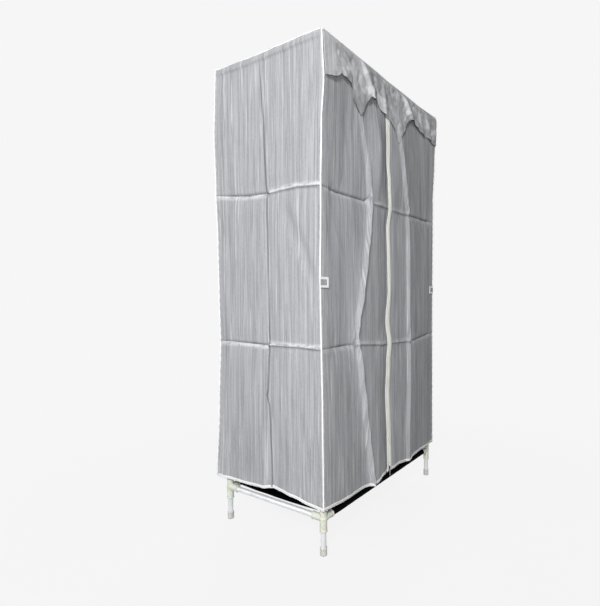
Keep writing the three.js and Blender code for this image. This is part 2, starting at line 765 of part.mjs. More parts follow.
// Tie-back tabs, sewn into the front corner seams at half height
function addTabs() {
  const hingeAcross = halfWidthAt(tabCentreHeight) - pipingRadius - tabThickness / 2 - tabFaceGap;
  const proud = clothThickness / 2 + tabFaceGap + tabThickness / 2;
  for (const [name, side] of [['tieback_left', -1], ['tieback_right', 1]]) {
    const tab = new THREE.BoxGeometry(tabWidth, tabThickness, tabHeight);
    const across = side * (hingeAcross - tabWidth / 2);
    addPiece(name, tab, 'binding', onFace(faces.front, across, tabCentreHeight, proud));
  }
}

corners.forEach(addPost);
addRails();
addHangingRail();
addShelf();
addPanels();
addHemBinding();
addDoors();
addPiping();
addValance();
addZip();
addTabs();

export default wardrobe;
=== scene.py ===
# Portable fabric wardrobe: sewn cover, zip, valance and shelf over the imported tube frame. Metres.
import math

import bmesh
import bpy
from mathutils import Matrix, Vector, noise


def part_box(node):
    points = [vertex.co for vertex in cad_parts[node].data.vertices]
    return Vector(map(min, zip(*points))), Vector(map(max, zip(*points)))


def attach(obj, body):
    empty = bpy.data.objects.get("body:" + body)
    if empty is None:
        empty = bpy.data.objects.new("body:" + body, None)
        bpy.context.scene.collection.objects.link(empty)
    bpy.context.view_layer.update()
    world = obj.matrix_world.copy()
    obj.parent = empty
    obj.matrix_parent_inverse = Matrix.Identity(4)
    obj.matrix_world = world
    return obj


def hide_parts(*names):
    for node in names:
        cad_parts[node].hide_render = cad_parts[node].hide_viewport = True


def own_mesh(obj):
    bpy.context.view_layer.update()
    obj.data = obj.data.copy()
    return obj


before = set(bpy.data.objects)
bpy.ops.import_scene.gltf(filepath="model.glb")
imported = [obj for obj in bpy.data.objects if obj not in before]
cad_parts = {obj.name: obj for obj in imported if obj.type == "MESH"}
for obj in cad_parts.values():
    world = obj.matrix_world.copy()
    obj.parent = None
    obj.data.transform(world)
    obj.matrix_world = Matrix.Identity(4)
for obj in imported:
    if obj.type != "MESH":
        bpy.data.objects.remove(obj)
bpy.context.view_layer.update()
xAxis, yAxis, zAxis = Vector((1, 0, 0)), Vector((0, 1, 0)), Vector((0, 0, 1))


class Value:  # a socket of a material, with the usual operators
    def __init__(self, tree, socket=None):
        self.tree, self.socket = tree, socket

    def node(self, kind, settings=None, sockets=None, output=0):
        made = self.tree.nodes.new(kind)
        for name, setting in (settings or {}).items():
            setattr(made, name, setting)
        for name, value in (sockets or {}).items():
            if isinstance(value, Value):
                self.tree.links.new(value.socket, made.inputs[name])
            else:
                made.inputs[name].default_value = value
        return Value(self.tree, made.outputs[output])

    def maths(self, operation, *others):
        return self.node("ShaderNodeMath", {"operation": operation}, dict(enumerate((self,) + others)))

    def __add__(self, other):
        return self.maths("ADD", other)

    def __sub__(self, other):
        return self.maths("SUBTRACT", other)

    def __rsub__(self, other):
        return self.maths("MULTIPLY", -1).maths("ADD", other)

    def __mul__(self, other):
        return self.maths("MULTIPLY", other)

    __radd__, __rmul__ = __add__, __mul__

    def between(self, low, high):  # 0 at low, 1 at high, smooth
        return self.node("ShaderNodeMapRange", {"interpolation_type": "SMOOTHSTEP"},
                         {"Value": self, "From Min": low, "From Max": high})

    def mixed(self, first, second):
        return self.node("ShaderNodeMix", {"data_type": "RGBA"}, {0: self, 6: first, 7: second}, 2)


def rgb(red, green, blue):
    return (red, green, blue, 1)


def newMaterial(name):
    material = bpy.data.materials.new(name)
    material.use_nodes = True
    material.node_tree.nodes.clear()
    return material, Value(material.node_tree)


def shade(maker, sockets, bump=None, bumpSize=0.0005):
    if bump:
        sockets["Normal"] = maker.node("ShaderNodeBump", None,
                                       {"Strength": 1, "Distance": bumpSize, "Height": bump})
    surface = maker.node("ShaderNodeBsdfPrincipled", None, sockets)
    output = maker.tree.nodes.new("ShaderNodeOutputMaterial")
    maker.tree.links.new(surface.socket, output.inputs["Surface"])


def clothPlace(maker, stretchAcross=1.0, stretchUp=1.0):  # the sheet's own UV map, in metres
    flat = maker.node("ShaderNodeUVMap", {"uv_map": "cloth"})
    return maker.node("ShaderNodeMapping", None, {"Vector": flat, "Scale": (stretchAcross, stretchUp, 1)})


def clothAxes(maker):  # the place across and up the flat cloth, as two numbers
    flat = maker.node("ShaderNodeUVMap", {"uv_map": "cloth"})
    return [maker.node("ShaderNodeSeparateXYZ", None, {"Vector": flat}, axis) for axis in (0, 1)]


def noiseAt(maker, place, scale, detail=2.0, roughness=0.5):
    return maker.node("ShaderNodeTexNoise", {"noise_dimensions": "2D"},
                      {"Vector": place, "Scale": scale, "Detail": detail, "Roughness": roughness})


def objectPlace(maker, scale=(1, 1, 1)):
    place = maker.node("ShaderNodeTexCoord", None, None, 3)  # its Object output
    return maker.node("ShaderNodeMapping", None, {"Vector": place, "Scale": scale})


def readTable(table, place):  # reads a table of (place, value), with eased steps
    if place <= table[0][0]:
        return table[0][1]
    for (before, valueBefore), (after, valueAfter) in zip(table, table[1:]):
        if place <= after:
            share = (place - before) / (after - before)
            return valueBefore + (valueAfter - valueBefore) * share * share * (3 - 2 * share)
    return table[-1][1]


def straightTable(table, place):  # the same, with straight steps
    if place <= table[0][0]:
        return table[0][1]
    for (before, valueBefore), (after, valueAfter) in zip(table, table[1:]):
        if place <= after:
            return valueBefore + (valueAfter - valueBefore) * (place - before) / (after - before)
    return table[-1][1]


foldLines = {  # where each fold runs: height, place across
    "leftDoor": [(0.155, -0.133), (0.224, -0.144), (0.343, -0.165), (0.46, -0.185), (0.573, -0.205),
                 (0.65, -0.217), (0.69, -0.23), (0.72, -0.236), (0.765, -0.228), (0.87, -0.202),
                 (0.99, -0.177), (1.11, -0.155), (1.21, -0.145), (1.285, -0.153), (1.5, -0.194),
                 (1.7, -0.206)],
    "leftValley": [(0.16, -0.175), (0.35, -0.205), (0.5, -0.23), (0.66, -0.262), (0.74, -0.275),
                   (0.95, -0.286), (1.15, -0.33), (1.3, -0.3), (1.5, -0.27)],
    "rightDoor": [(0.16, 0.15), (0.57, 0.16), (0.69, 0.162), (0.745, 0.156), (0.84, 0.154), (1.015, 0.154),
                  (1.17, 0.153), (1.2, 0.16), (1.29, 0.134), (1.42, 0.11), (1.5, 0.095), (1.7, 0.07)],
    "left": [(0.2, 0.018), (0.29, 0.017), (0.48, 0.005), (0.51, -0.006), (0.53, 0.0), (0.7, 0.008),
             (0.85, 0.006), (1.1, -0.001), (1.216, -0.004), (1.32, -0.01), (1.48, -0.018), (1.68, -0.032)],
    "right": [(0.17, -0.015), (0.68, 0.005), (1.2, -0.005), (1.7, 0.012)],
    "backLeft": [(0.17, -0.15), (0.68, -0.187), (1.2, -0.16), (1.7, -0.175)],
    "backRight": [(0.17, 0.165), (0.68, 0.19), (1.2, 0.165), (1.7, 0.185)],
}
panelShift = {  # where each sheet lies on the flat cloth
    "leftDoor": 1.3, "rightDoor": 2.9, "left": 5.1, "right": 7.7, "back": 9.4, "top": 11.6, "tabs": 20,
}
foldShadeLines = [  # painted shade along the sharpest folds: sheet, its line, aside, half width, strength, lowest and highest
    ("left", foldLines["left"], -0.0028, 0.0036, 0.5, 0.17, 1.66),
    ("left", [(0, -0.2135), (2, -0.2135)], 0, 0.006, 0.16, 0.5, 1.6),
    ("right", foldLines["right"], 0.0028, 0.0036, 0.4, 0.17, 1.66),
]
creaseLevels = {"lowCrease": 0.680, "highCrease": 1.206}
creaseWander = {  # how the packing creases leave their mean height: place across, rise
    ("front", "lowCrease"): [(-0.42, 0.008), (-0.22, 0.007), (-0.05, -0.008), (0.09, -0.01), (0.2, -0.014),
                             (0.4, 0.005)],
    ("front", "highCrease"): [(-0.42, 0.002), (-0.25, -0.002), (-0.172, -0.003), (-0.148, 0.016),
                              (-0.137, -0.004), (0, -0.004), (0.2, -0.004), (0.4, 0)],
    ("left", "lowCrease"): [(-0.24, 0.012), (0, 0.007), (0.13, 0.009), (0.24, 0.008)],
    ("left", "highCrease"): [(-0.25, 0.03), (-0.1, 0.012), (0, 0.01), (0.14, 0.013), (0.24, 0.004)],
}
creaseSigns = {  # where a crease stands out (1) or sinks in (-1): place across, sign
    "left": [(-0.004, -1), (0.004, 1)],
    "right": [(-0.004, 1), (0.004, -1)],
    "back": [(-0.2, -1), (-0.15, 1), (0.16, 1), (0.19, -1)],
    ("front", "lowCrease"): [(-0.26, -1), (-0.225, 1), (0.155, 1), (0.17, -1)],
    ("front", "highCrease"): [(-0.165, -1), (-0.14, 1), (0.15, 1), (0.165, -1)],
}
sheetSpans = {  # the side that each sheet hangs on, and its two ends
    "leftDoor": ("front", -0.42, 0), "rightDoor": ("front", 0, 0.42),
    "left": ("left", -0.25, 0.25), "right": ("right", -0.25, 0.25), "back": ("back", -0.43, 0.43),
}
# painted light at the packing creases: the width and darkness of the painted dark line, the width of the
# painted highlight band and its strength on each sheet
creaseShadeAndHighlight = {
    "reach": 0.0035, "dark": 0.3, "band": 0.021,
    "pale": {"leftDoor": 0.16, "rightDoor": 0.14, "left": 0.42, "right": 0.3, "back": 0.3},
}
pinstripe = {
    "pale": rgb(0.418, 0.424, 0.443), "dark": rgb(0.285, 0.289, 0.302), "white": rgb(0.56, 0.565, 0.58),
    "linesPerMetre": 250, "bandsPerMetre": 75, "lineRun": 5, "bandRun": 1.2, "threadRun": 2.2, "grainRun": 90,
    "dimplePitch": 0.0011,
}


def pinstripeTone(maker, size):  # uneven upright threads of light and dark grey
    grain = noiseAt(maker, clothPlace(maker, size["linesPerMetre"] * 1.4, size["grainRun"]), 1, 1, 0.5)
    fine = noiseAt(maker, clothPlace(maker, size["linesPerMetre"], size["lineRun"]), 1, 3, 0.65)
    broad = noiseAt(maker, clothPlace(maker, size["bandsPerMetre"], size["bandRun"]), 1, 2, 0.5)
    thread = noiseAt(maker, clothPlace(maker, size["linesPerMetre"] * 0.55, size["threadRun"]), 1, 1, 0.5)
    darkLine = fine.between(0.44, 0.62) * 0.55 + broad.between(0.36, 0.66) * 0.48 + (grain - 0.5) * 0.6
    whiteLine = thread.between(0.6, 0.7) * fine.between(0.6, 0.45)
    return darkLine, whiteLine


def alongTable(place, table):  # reads a table of (place, value) in a material
    total = table[0][1]
    for (low, first), (high, last) in zip(table, table[1:]):
        if last != first:
            rise = {"Value": place, "From Min": low, "From Max": high, "To Max": last - first}
            total = place.node("ShaderNodeMapRange", None, rise) + total
    return total


def paintedFoldShade(maker):  # painted shade: the cloth is painted a little darker along its sharpest folds
    across, height = clothAxes(maker)
    total = 0
    for sheet, table, aside, reach, strength, low, high in foldShadeLines:
        distance = (across - alongTable(height, table) - (panelShift[sheet] + aside)).maths("ABSOLUTE")
        ends = height.between(low - 0.04, low + 0.04), height.between(high + 0.04, high - 0.04)
        total = distance.between(reach, reach * 0.2) * ends[0] * ends[1] * strength + total
    return total


def overSheets(tableOf):  # one table along the whole flat cloth, from each sheet's own
    whole = []
    for sheet, (side, low, high) in sheetSpans.items():
        table = tableOf(sheet, side)
        places = sorted({low, high} | {place for place, _ in table if low < place < high})
        whole += [(place + panelShift[sheet], straightTable(table, place)) for place in places]
    return whole


def paintedCreaseShadeAndHighlight(maker):  # pressed creases: a thin dark line of painted shade, with a pale band of painted highlight on the side that faces up
    across, height = clothAxes(maker)
    glow = alongTable(across, overSheets(lambda sheet, side: [(0, creaseShadeAndHighlight["pale"][sheet])]))
    uneven = noiseAt(maker, clothPlace(maker, 30, 90), 1, 2, 0.6).between(0.25, 0.6)
    dark, pale, reach = 0, 0, creaseShadeAndHighlight["reach"]
    for which, level in creaseLevels.items():
        line = alongTable(across, overSheets(lambda sheet, side: creaseWander.get((side, which), [(0, 0)])))
        sign = alongTable(across, overSheets(
            lambda sheet, side: creaseSigns.get((side, which)) or creaseSigns[side]))
        past = (height - line - level) * sign
        dark = past.between(-2 * reach, -0.3 * reach) * past.between(0.5 * reach, -0.3 * reach) + dark
        pale = (past.between(0, 0.6 * reach)
                * past.between(creaseShadeAndHighlight["band"], 0.2 * creaseShadeAndHighlight["band"]) + pale)
    return dark * creaseShadeAndHighlight["dark"], pale * uneven * glow


def dimples(maker, pitch):  # the bonded dots of non-woven cloth
    return maker.node("ShaderNodeTexVoronoi", {"voronoi_dimensions": "2D"}, {
        "Vector": clothPlace(maker), "Scale": 1 / pitch, "Randomness": 0.25}).between(0.15, 0.5)


def makeCoverCloth():
    material, maker = newMaterial("coverCloth")
    darkLine, whiteLine = pinstripeTone(maker, pinstripe)
    tone = darkLine.mixed(pinstripe["pale"], pinstripe["dark"])
    # painted crease shadow and highlight, and painted fold shade, mixed into the cover's colour
    creaseShadow, creaseHighlight = paintedCreaseShadeAndHighlight(maker)
    striped = creaseHighlight.mixed((whiteLine * 0.75).mixed(tone, pinstripe["white"]), rgb(0.9, 0.9, 0.91))
    colour = (paintedFoldShade(maker) + creaseShadow).mixed(striped, rgb(0.03, 0.03, 0.035))
    crinkle = noiseAt(maker, clothPlace(maker, 50, 28), 1, 3, 0.45)
    bump = dimples(maker, pinstripe["dimplePitch"]) * 0.04 + crinkle
    shade(maker, {"Base Color": colour, "Roughness": crinkle * 0.15 + 0.7, "Specular IOR Level": 0.08},
          bump, 0.0009)
    return material


def makeBinding(name, light, shadow, ribs, bumpSize):  # white tape: u runs along it, v across it
    material, maker = newMaterial(name)
    weave = maker.node("ShaderNodeTexWave", {"wave_type": "BANDS", "bands_direction": "X"},
                       {"Vector": clothPlace(maker), "Scale": ribs, "Distortion": 0.6, "Detail": 1.0}, 1)
    soil = noiseAt(maker, clothPlace(maker, 18, 30), 1, 3, 0.6)
    shade(maker, {"Base Color": (soil.between(0.35, 0.7) * 0.5 + weave * 0.3).mixed(light, shadow),
                  "Roughness": soil * 0.2 + 0.6, "Specular IOR Level": 0.15}, weave + soil * 1.5, bumpSize)
    return material


def makeSmooth(name, light, dark, roughness, settings):  # coated steel, moulded plastic, plated metal
    material, maker = newMaterial(name)
    cloud = maker.node("ShaderNodeTexNoise", None,
                       {"Vector": objectPlace(maker, settings.get("stretch", (1, 1, 1))),
                        "Scale": settings["scale"], "Detail": 4, "Roughness": 0.6})
    grain = maker.node("ShaderNodeTexNoise", None,
                       {"Vector": objectPlace(maker), "Scale": settings["grain"], "Detail": 2})
    sockets = {"Base Color": cloud.between(0.3, 0.75).mixed(light, dark),
               "Roughness": cloud * 0.18 + roughness, "Metallic": settings.get("metallic", 0),
               "Specular IOR Level": 0.5}
    if "under" in settings:  # light that comes through thin plastic
        sockets["Subsurface Weight"] = settings["under"]
        sockets["Subsurface Scale"] = 0.004
    shade(maker, sockets, grain + cloud * 0.5, settings.get("bump", 0.00012))
    return material


def makeShelfCloth():
    material, maker = newMaterial("shelfCloth")
    crinkle = noiseAt(maker, clothPlace(maker, 40, 40), 1, 4, 0.6)
    dust = noiseAt(maker, clothPlace(maker, 9, 9), 1, 3, 0.7)
    bump = dimples(maker, 0.0012) * 0.25 + crinkle
    shade(maker, {"Base Color": dust.between(0.5, 0.8).mixed(rgb(0.002, 0.002, 0.0023),
                                                             rgb(0.006, 0.006, 0.0065)),
                  "Roughness": crinkle * 0.2 + 0.72, "Specular IOR Level": 0.02}, bump, 0.0009)
    return material


coverCloth = makeCoverCloth()
whiteBinding = makeBinding("whiteBinding", rgb(0.92, 0.92, 0.915), rgb(0.84, 0.845, 0.85), 160, 0.0002)
zipTape = makeBinding("zipTape", rgb(0.97, 0.962, 0.91), rgb(0.91, 0.90, 0.85), 240, 0.00015)
stitchThread = makeSmooth("stitchThread", rgb(0.85, 0.85, 0.84), rgb(0.72, 0.72, 0.72), 0.6,
                          {"scale": 90, "grain": 1500})
zipPlastic = makeSmooth("zipPlastic", rgb(0.97, 0.965, 0.92), rgb(0.92, 0.915, 0.87), 0.3,
                        {"scale": 60, "grain": 900})
zipMetal = makeSmooth("zipMetal", rgb(0.075, 0.075, 0.08), rgb(0.02, 0.02, 0.022), 0.25,
                      {"scale": 160, "grain": 1400, "metallic": 0.85})
pullerMetal = makeSmooth("pullerMetal", rgb(0.42, 0.42, 0.43), rgb(0.22, 0.22, 0.225), 0.3,
                         {"scale": 160, "grain": 1400, "metallic": 0.5})
tubeSteel = makeSmooth("tubeSteel", rgb(0.80, 0.81, 0.825), rgb(0.68, 0.69, 0.71), 0.2,
                       {"scale": 26, "grain": 700, "stretch": (1, 1, 0.4), "metallic": 0.25})
connectorPlastic = makeSmooth("connectorPlastic", rgb(0.70, 0.715, 0.63), rgb(0.58, 0.60, 0.51), 0.38,
                              {"scale": 34, "grain": 1100, "bump": 0.0002, "under": 0.12})
capPlastic = makeSmooth("capPlastic", rgb(0.64, 0.65, 0.61), rgb(0.52, 0.53, 0.49), 0.42,
                        {"scale": 40, "grain": 1100, "bump": 0.0002, "under": 0.1})
shelfCloth = makeShelfCloth()
print("materials made")


def makePiece(name, vertices, faces, materials, uvs=None, sharpFrom=40):
    mesh = bpy.data.meshes.new(name)
    mesh.from_pydata([tuple(v) for v in vertices], [], faces)
    if uvs:
        layer = mesh.uv_layers.new(name="cloth")
        for loop in mesh.loops:
            layer.data[loop.index].uv = uvs[loop.vertex_index]
    for material in materials:
        mesh.materials.append(material)
    for polygon in mesh.polygons:
        polygon.use_smooth = True
    mesh.validate()
    mesh.set_sharp_from_angle(angle=math.radians(sharpFrom))
    piece = bpy.data.objects.new(name, mesh)
    bpy.context.scene.collection.objects.link(piece)
    return piece


def applied(piece):  # turns the modifiers of a piece into its plain mesh
    evaluated = piece.evaluated_get(bpy.context.evaluated_depsgraph_get())
    mesh = bpy.data.meshes.new_from_object(evaluated)
    mesh.name = piece.name
    piece.modifiers.clear()
    piece.data = mesh
    return piece


def recalculated(piece):  # one skin with its faces outward
    shape = bmesh.new()
    shape.from_mesh(piece.data)
    bmesh.ops.remove_doubles(shape, verts=shape.verts, dist=0.00001)
    bmesh.ops.recalc_face_normals(shape, faces=shape.faces)
    shape.to_mesh(piece.data)
    shape.free()
    return piece


def clothGrid(name, columns, rows, pointAt, uvAt, thickness, material):
    vertices, uvs, faces = [], [], []
    for row in range(rows + 1):
        for column in range(columns + 1):
            vertices.append(pointAt(column, row))
            uvs.append(uvAt(column, row))
    wide = columns + 1
    for row in range(rows):
        for column in range(columns):
            start = row * wide + column
            faces.append((start, start + 1, start + 1 + wide, start + wide))
    piece = makePiece(name, vertices, faces, [material], uvs, 60)
    solid = piece.modifiers.new("cloth", "SOLIDIFY")
    solid.thickness, solid.offset = thickness, 0
    return applied(piece)


def sweep(name, path, profile, reference, material, sharpFrom=40):  # a closed profile along a path
    vertices, uvs, faces = [], [], []
    count, run = len(profile), 0.0
    around = [0.0]
    for i in range(1, count):
        around.append(around[-1] + math.dist(profile[i], profile[i - 1]))
    for i, point in enumerate(path):
        before = (point - path[max(0, i - 1)]) if i else (path[1] - point)
        after = (path[min(len(path) - 1, i + 1)] - point) if i + 1 < len(path) else (point - path[i - 1])
        tangent = (before.normalized() + after.normalized()).normalized()
        sideways = reference.cross(tangent).normalized()
        upright = tangent.cross(sideways).normalized()
        stretch = 1 / max(0.5, tangent.dot(before.normalized()))
        run += before.length if i else 0
        for (aside, up), girth in zip(profile, around):
            vertices.append(point + sideways * (aside * stretch) + upright * up)
            uvs.append((run, girth))
    for ring in range(len(path) - 1):
        for corner in range(count):
            here, turn = ring * count + corner, ring * count + (corner + 1) % count
            faces.append((here, turn, turn + count, here + count))
    last = (len(path) - 1) * count
    faces.append(tuple(reversed(range(count))))
    faces.append(tuple(range(last, last + count)))
    return recalculated(makePiece(name, vertices, faces, [material], uvs, sharpFrom))


def circle(radius, sides):
    angles = [2 * math.pi * i / sides for i in range(sides)]
    return [(radius * math.cos(angle), radius * math.sin(angle)) for angle in angles]


def lathed(outline, direction, start, sides=36, closed=True):  # outline: (radius, distance along the axis)
    axis = Vector(direction).normalized()
    sideways = (axis.cross(zAxis) if abs(axis.z) < 0.9 else axis.cross(xAxis)).normalized()
    upright = axis.cross(sideways)
    vertices, faces, count = [], [], len(outline)
    for i in range(sides):
        angle = 2 * math.pi * i / sides
        out = sideways * math.cos(angle) + upright * math.sin(angle)
        vertices += [start + out * radius + axis * along for radius, along in outline]
    for i in range(sides):
        for j in range(count if closed else count - 1):
            a, b = i * count + j, i * count + (j + 1) % count
            c, d = ((i + 1) % sides) * count + (j + 1) % count, ((i + 1) % sides) * count + j
            faces.append((a, d, c, b))
    return vertices, faces


def smooth(low, high, value):
    share = min(1, max(0, (value - low) / (high - low)))
    return share * share * (3 - 2 * share)


def hump(distance, reach):
    share = min(1, abs(distance) / reach)
    return (1 - share * share) ** 2


def crease(distance, reach):
    return max(0, 1 - abs(distance) / reach)


def lerp(first, second, share):
    return first + (second - first) * share


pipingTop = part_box("piping_top_right")
cover = {
    "halfWidth": (pipingTop[0].x + pipingTop[1].x) / 2, "halfDepth": 0.0025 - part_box("piping_front")[1].y,
    "seam": (pipingTop[0].z + pipingTop[1].z) / 2, "hem": 0.158, "hemRise": 0.02,
    "flareAcross": 0.006, "flareDeep": 0.009, "thickness": 0.0009, "droop": 0.002, "droopReach": 0.03,
    "wanderReach": 0.13, "zipReach": 0.11,  # how far from a seam or the zip the cloth follows their wander
    "setBack": 0.0012, "bindingHeight": 0.0106, "bindingThickness": 0.0024,
    "pipingRadius": 0.0024, "pipingSides": 10,
}
sideAxes = {  # towards the right of a side as seen from outside, and out of it
    "front": (xAxis, -yAxis), "back": (-xAxis, yAxis), "left": (-yAxis, -xAxis), "right": (yAxis, xAxis),
}

# how the corner seams wander from straight: height, then towards +X and +Y
seamWander = {
    (-1, -1): [(0.15, -0.003, 0.002), (0.45, -0.004, 0.003), (0.9, -0.008, 0.006), (1.2, -0.005, 0.004),
               (1.4, -0.002, 0.002), (1.55, 0.005, -0.003), (1.66, 0.002, 0), (1.7, 0, 0)],
    (-1, 1): [(0.15, -0.013, 0.011), (0.45, -0.005, 0.005), (0.69, -0.001, 0.001), (0.85, -0.004, 0.003),
              (1.05, -0.006, 0.006), (1.25, -0.011, 0.01), (1.45, -0.015, 0.014), (1.6, -0.012, 0.012),
              (1.7, -0.01, 0.01)],
    (1, -1): [(0.15, -0.001, 0.001), (0.7, 0, 0), (1.3, 0.003, -0.003), (1.5, 0.01, -0.009),
              (1.62, 0.016, -0.013), (1.7, 0.016, -0.013)],
    (1, 1): [(0.15, 0.003, 0.002), (0.6, 0.001, 0.002), (1, 0.004, 0.004), (1.4, 0.007, 0.006),
             (1.7, 0.004, 0.005)],
}


def flare(z):
    return (cover["seam"] - z) / (cover["seam"] - cover["hem"])


def halfWidth(z):
    return cover["halfWidth"] + cover["flareAcross"] * flare(z)


def halfDepth(z):
    return cover["halfDepth"] + cover["flareDeep"] * flare(z)


def cornerWander(corner, z):
    table = seamWander[corner]
    return Vector((readTable([(h, x) for h, x, _ in table], z),
                   readTable([(h, y) for h, _, y in table], z), 0))


def spanOf(side, z):
    return halfWidth(z) if side in ("front", "back") else halfDepth(z)


def reachOf(side, z):
    return halfDepth(z) if side in ("front", "back") else halfWidth(z)


def cornerOf(side, sign):
    right, out = sideAxes[side]
    corner = right * sign + out
    return (round(corner.x), round(corner.y))


def seamTop(side, across):  # the top seam sinks a little beyond the corner connectors
    fromCorner = spanOf(side, cover["seam"]) - abs(across)
    return cover["seam"] - cover["droop"] * (1 - smooth(0, cover["droopReach"], fromCorner)) ** 2


# how the zip wanders from straight: height, towards the right and out
zipWander = [(0.2, 0, 0), (0.3, 0.001, -0.003), (0.47, -0.003, -0.007), (0.6, 0, -0.003),
             (0.67, 0.002, 0.002), (0.76, -0.003, -0.005), (0.88, 0.001, 0.002), (1.0, 0, 0.001),
             (1.13, -0.001, -0.002), (1.21, 0.004, 0.006), (1.3, 0.003, 0.004), (1.38, 0, 0), (1.46, 0, 0),
             (1.53, -0.003, 0.002), (1.6, -0.003, -0.003), (1.7, 0, -0.002)]


def zipShift(z):
    return readTable([(h, x) for h, x, _ in zipWander], z), readTable([(h, o) for h, _, o in zipWander], z)


def onCover(side, across, z, proud):
    right, out = sideAxes[side]
    span, reach = spanOf(side, z), reachOf(side, z)
    point = right * across + out * (reach + proud)
    point.z = z
    for sign in (-1, 1):
        near = 1 - min(1, abs(sign * span - across) / cover["wanderReach"])
        if near > 0:
            point += cornerWander(cornerOf(side, sign), z) * near * near
    if side == "front":
        near = 1 - min(1, abs(across) / cover["zipReach"])
        if near > 0:
            shiftAcross, shiftOut = zipShift(z)
            near = smooth(0, 1, near)
            point += right * shiftAcross * near + out * shiftOut * near
    return point


# how far the hem rises above its mean height: share of the half span, share of the rise
hemShares = {
    "front": [(-1, 0.25), (-0.9, 0.1), (-0.75, -0.2), (-0.6, -0.3), (-0.46, -0.3), (-0.36, -0.45),
              (-0.29, -0.75), (-0.25, -0.72), (-0.12, 0), (-0.03, 0.1), (0.03, -0.1), (0.19, 0.1),
              (0.3, -0.15), (0.42, -0.3), (0.45, 0.1), (0.64, 0.2), (0.8, 0.1), (1, 0.15)],
    "back": [(-1, -0.1), (-0.5, -0.4), (0, 0.3), (0.5, -0.3), (0.85, 0.2), (1, 0.75)],
    "left": [(-1, 0.75), (-0.85, 0.5), (-0.5, 0.5), (-0.12, 0.8), (0.06, 1.25), (0.2, 1.05), (0.42, 0.8),
             (0.75, 0.35), (1, 0.15)],
    "right": [(-1, -0.1), (-0.4, -0.2), (0.05, 0.7), (0.5, 0.1), (1, 0)],
}


def hemAt(side, across):
    return cover["hem"] + cover["hemRise"] * readTable(hemShares[side], across / spanOf(side, cover["hem"]))


def creaseSign(side, which, across):
    return straightTable(creaseSigns.get((side, which)) or creaseSigns[side], across)


def creaseHeight(side, which, across):
    return creaseLevels[which] + straightTable(creaseWander.get((side, which), [(0, 0)]), across)


wrinkle = {  # how far each kind of unevenness stands out
    "drape": 0.0024, "ripple": 0.0008, "gather": 0.0022, "gatherDrop": 0.17, "sharp": 0.0011,
    "seeds": {"front": 3.1, "back": 17.7, "left": 31.3, "right": 47.9},
}


def wrinkles(side, across, z):
    seed = wrinkle["seeds"][side]
    drape = noise.noise(Vector((across * 8, z * 1.3, seed)))
    ripple = noise.noise(Vector((across * 26, z * 2.2, seed + 4)))
    gather = noise.noise(Vector((across * 34, z * 5, seed + 8)))
    gather *= 1 - smooth(0.01, wrinkle["gatherDrop"], cover["seam"] - z)
    sharp = 1 - 2 * abs(noise.noise(Vector((across * 9 + z * 2, z * 5.5, seed + 11))))
    return (wrinkle["drape"] * drape + wrinkle["ripple"] * ripple + wrinkle["gather"] * gather
            + wrinkle["sharp"] * sharp * abs(sharp))


creased = {  # the packing creases: a wide hollow, a sharp line with a slope on one side of it, and puckers
    "depth": 0.003, "reach": 0.06, "line": 0.0075, "fold": {"lowCrease": 0.0048, "highCrease": 0.0066},
    "nearSlope": 0.013, "farSlope": 0.034, "farShare": 0.3,
    "uneven": 0.5, "pucker": 0.002, "puckerReach": 0.045,
    "overPost": 0.22, "postEdge": 0.034, "clearOfPost": 0.06,  # the posts keep a crease over them shallow
}


def creases(side, across, z):
    total = 0
    sharp, far = creased["line"], creased["farShare"]
    clear = smooth(creased["postEdge"], creased["clearOfPost"], spanOf(side, z) - abs(across))
    overPost = lerp(creased["overPost"], 1, clear)
    for which in creaseLevels:
        share = (1 + creaseSign(side, which, across)) / 2
        distance = z - creaseHeight(side, which, across)
        total -= creased["depth"] * crease(distance, creased["reach"]) * overPost
        slope = ((1 - far) * crease(distance, creased["nearSlope"])
                 + far * crease(distance, creased["farSlope"]))
        sunk, proud = (crease(distance, sharp), slope) if distance > 0 else (slope, crease(distance, sharp))
        uneven = 1 + creased["uneven"] * noise.noise(Vector((across * 14, z * 2, 8)))
        total += creased["fold"][which] * uneven * (share * proud - (1 - share) * sunk * overPost)
        pucker = creased["pucker"] * noise.noise(Vector((across * 34, z * 34, 5)))
        total += pucker * crease(distance, creased["puckerReach"]) * overPost
    return total


# how far the cloth stands out over the top rail: distance below the seam, rise
overTheRail = [(0, 0), (0.006, 0.0022), (0.02, 0.0046), (0.027, 0.0002), (0.034, -0.0008), (0.09, 0)]
fades = {  # how far from the top, a seam and the zip the cloth takes to hang free
    "top": 0.33, "seam": 0.06, "creaseAtSeam": 0.016, "rail": 0.03, "zipFrom": 0.012, "zipTo": 0.045,
    "zipSunk": 0.0011, "pucker": 0.0009, "puckerPitch": 210,
}


def relief(side, across, z, fold):  # how far the cloth stands out from the plain box
    fromSeam = spanOf(side, z) - abs(across)
    fromTop = cover["seam"] - z
    seamFade = smooth(cover["setBack"], fades["seam"], fromSeam)
    creaseFade = smooth(cover["setBack"], fades["creaseAtSeam"], fromSeam)
    zipFade = smooth(fades["zipFrom"], fades["zipTo"], abs(across)) if side == "front" else 1
    wave = math.sin(z * fades["puckerPitch"] + 3 * noise.noise(Vector((across, z * 9, 2))))
    pucker = fades["pucker"] * wave * hump(fromSeam - 0.006, 0.016)
    hanging = seamFade * fold + creaseFade * creases(side, across, z)
    soft = smooth(0, fades["top"], fromTop) * hanging + seamFade * wrinkles(side, across, z)
    overRail = straightTable(overTheRail, fromTop) * smooth(0, fades["rail"], fromSeam)
    return soft * zipFade + overRail + pucker - fades["zipSunk"] * (1 - zipFade)


edgeWidth = 0.006  # over which a fold's crest drops


def crest(away, height, rise, lip, lipReach, edge, fall):  # climbs to a lipped crest, drops, sinks slowly
    if away < 0:
        return (height - lip) * max(0, 1 + away / rise) ** 2.4 + lip * crease(away, lipReach)
    return (height - edge) * crease(away, fall) + edge * crease(away, edgeWidth)


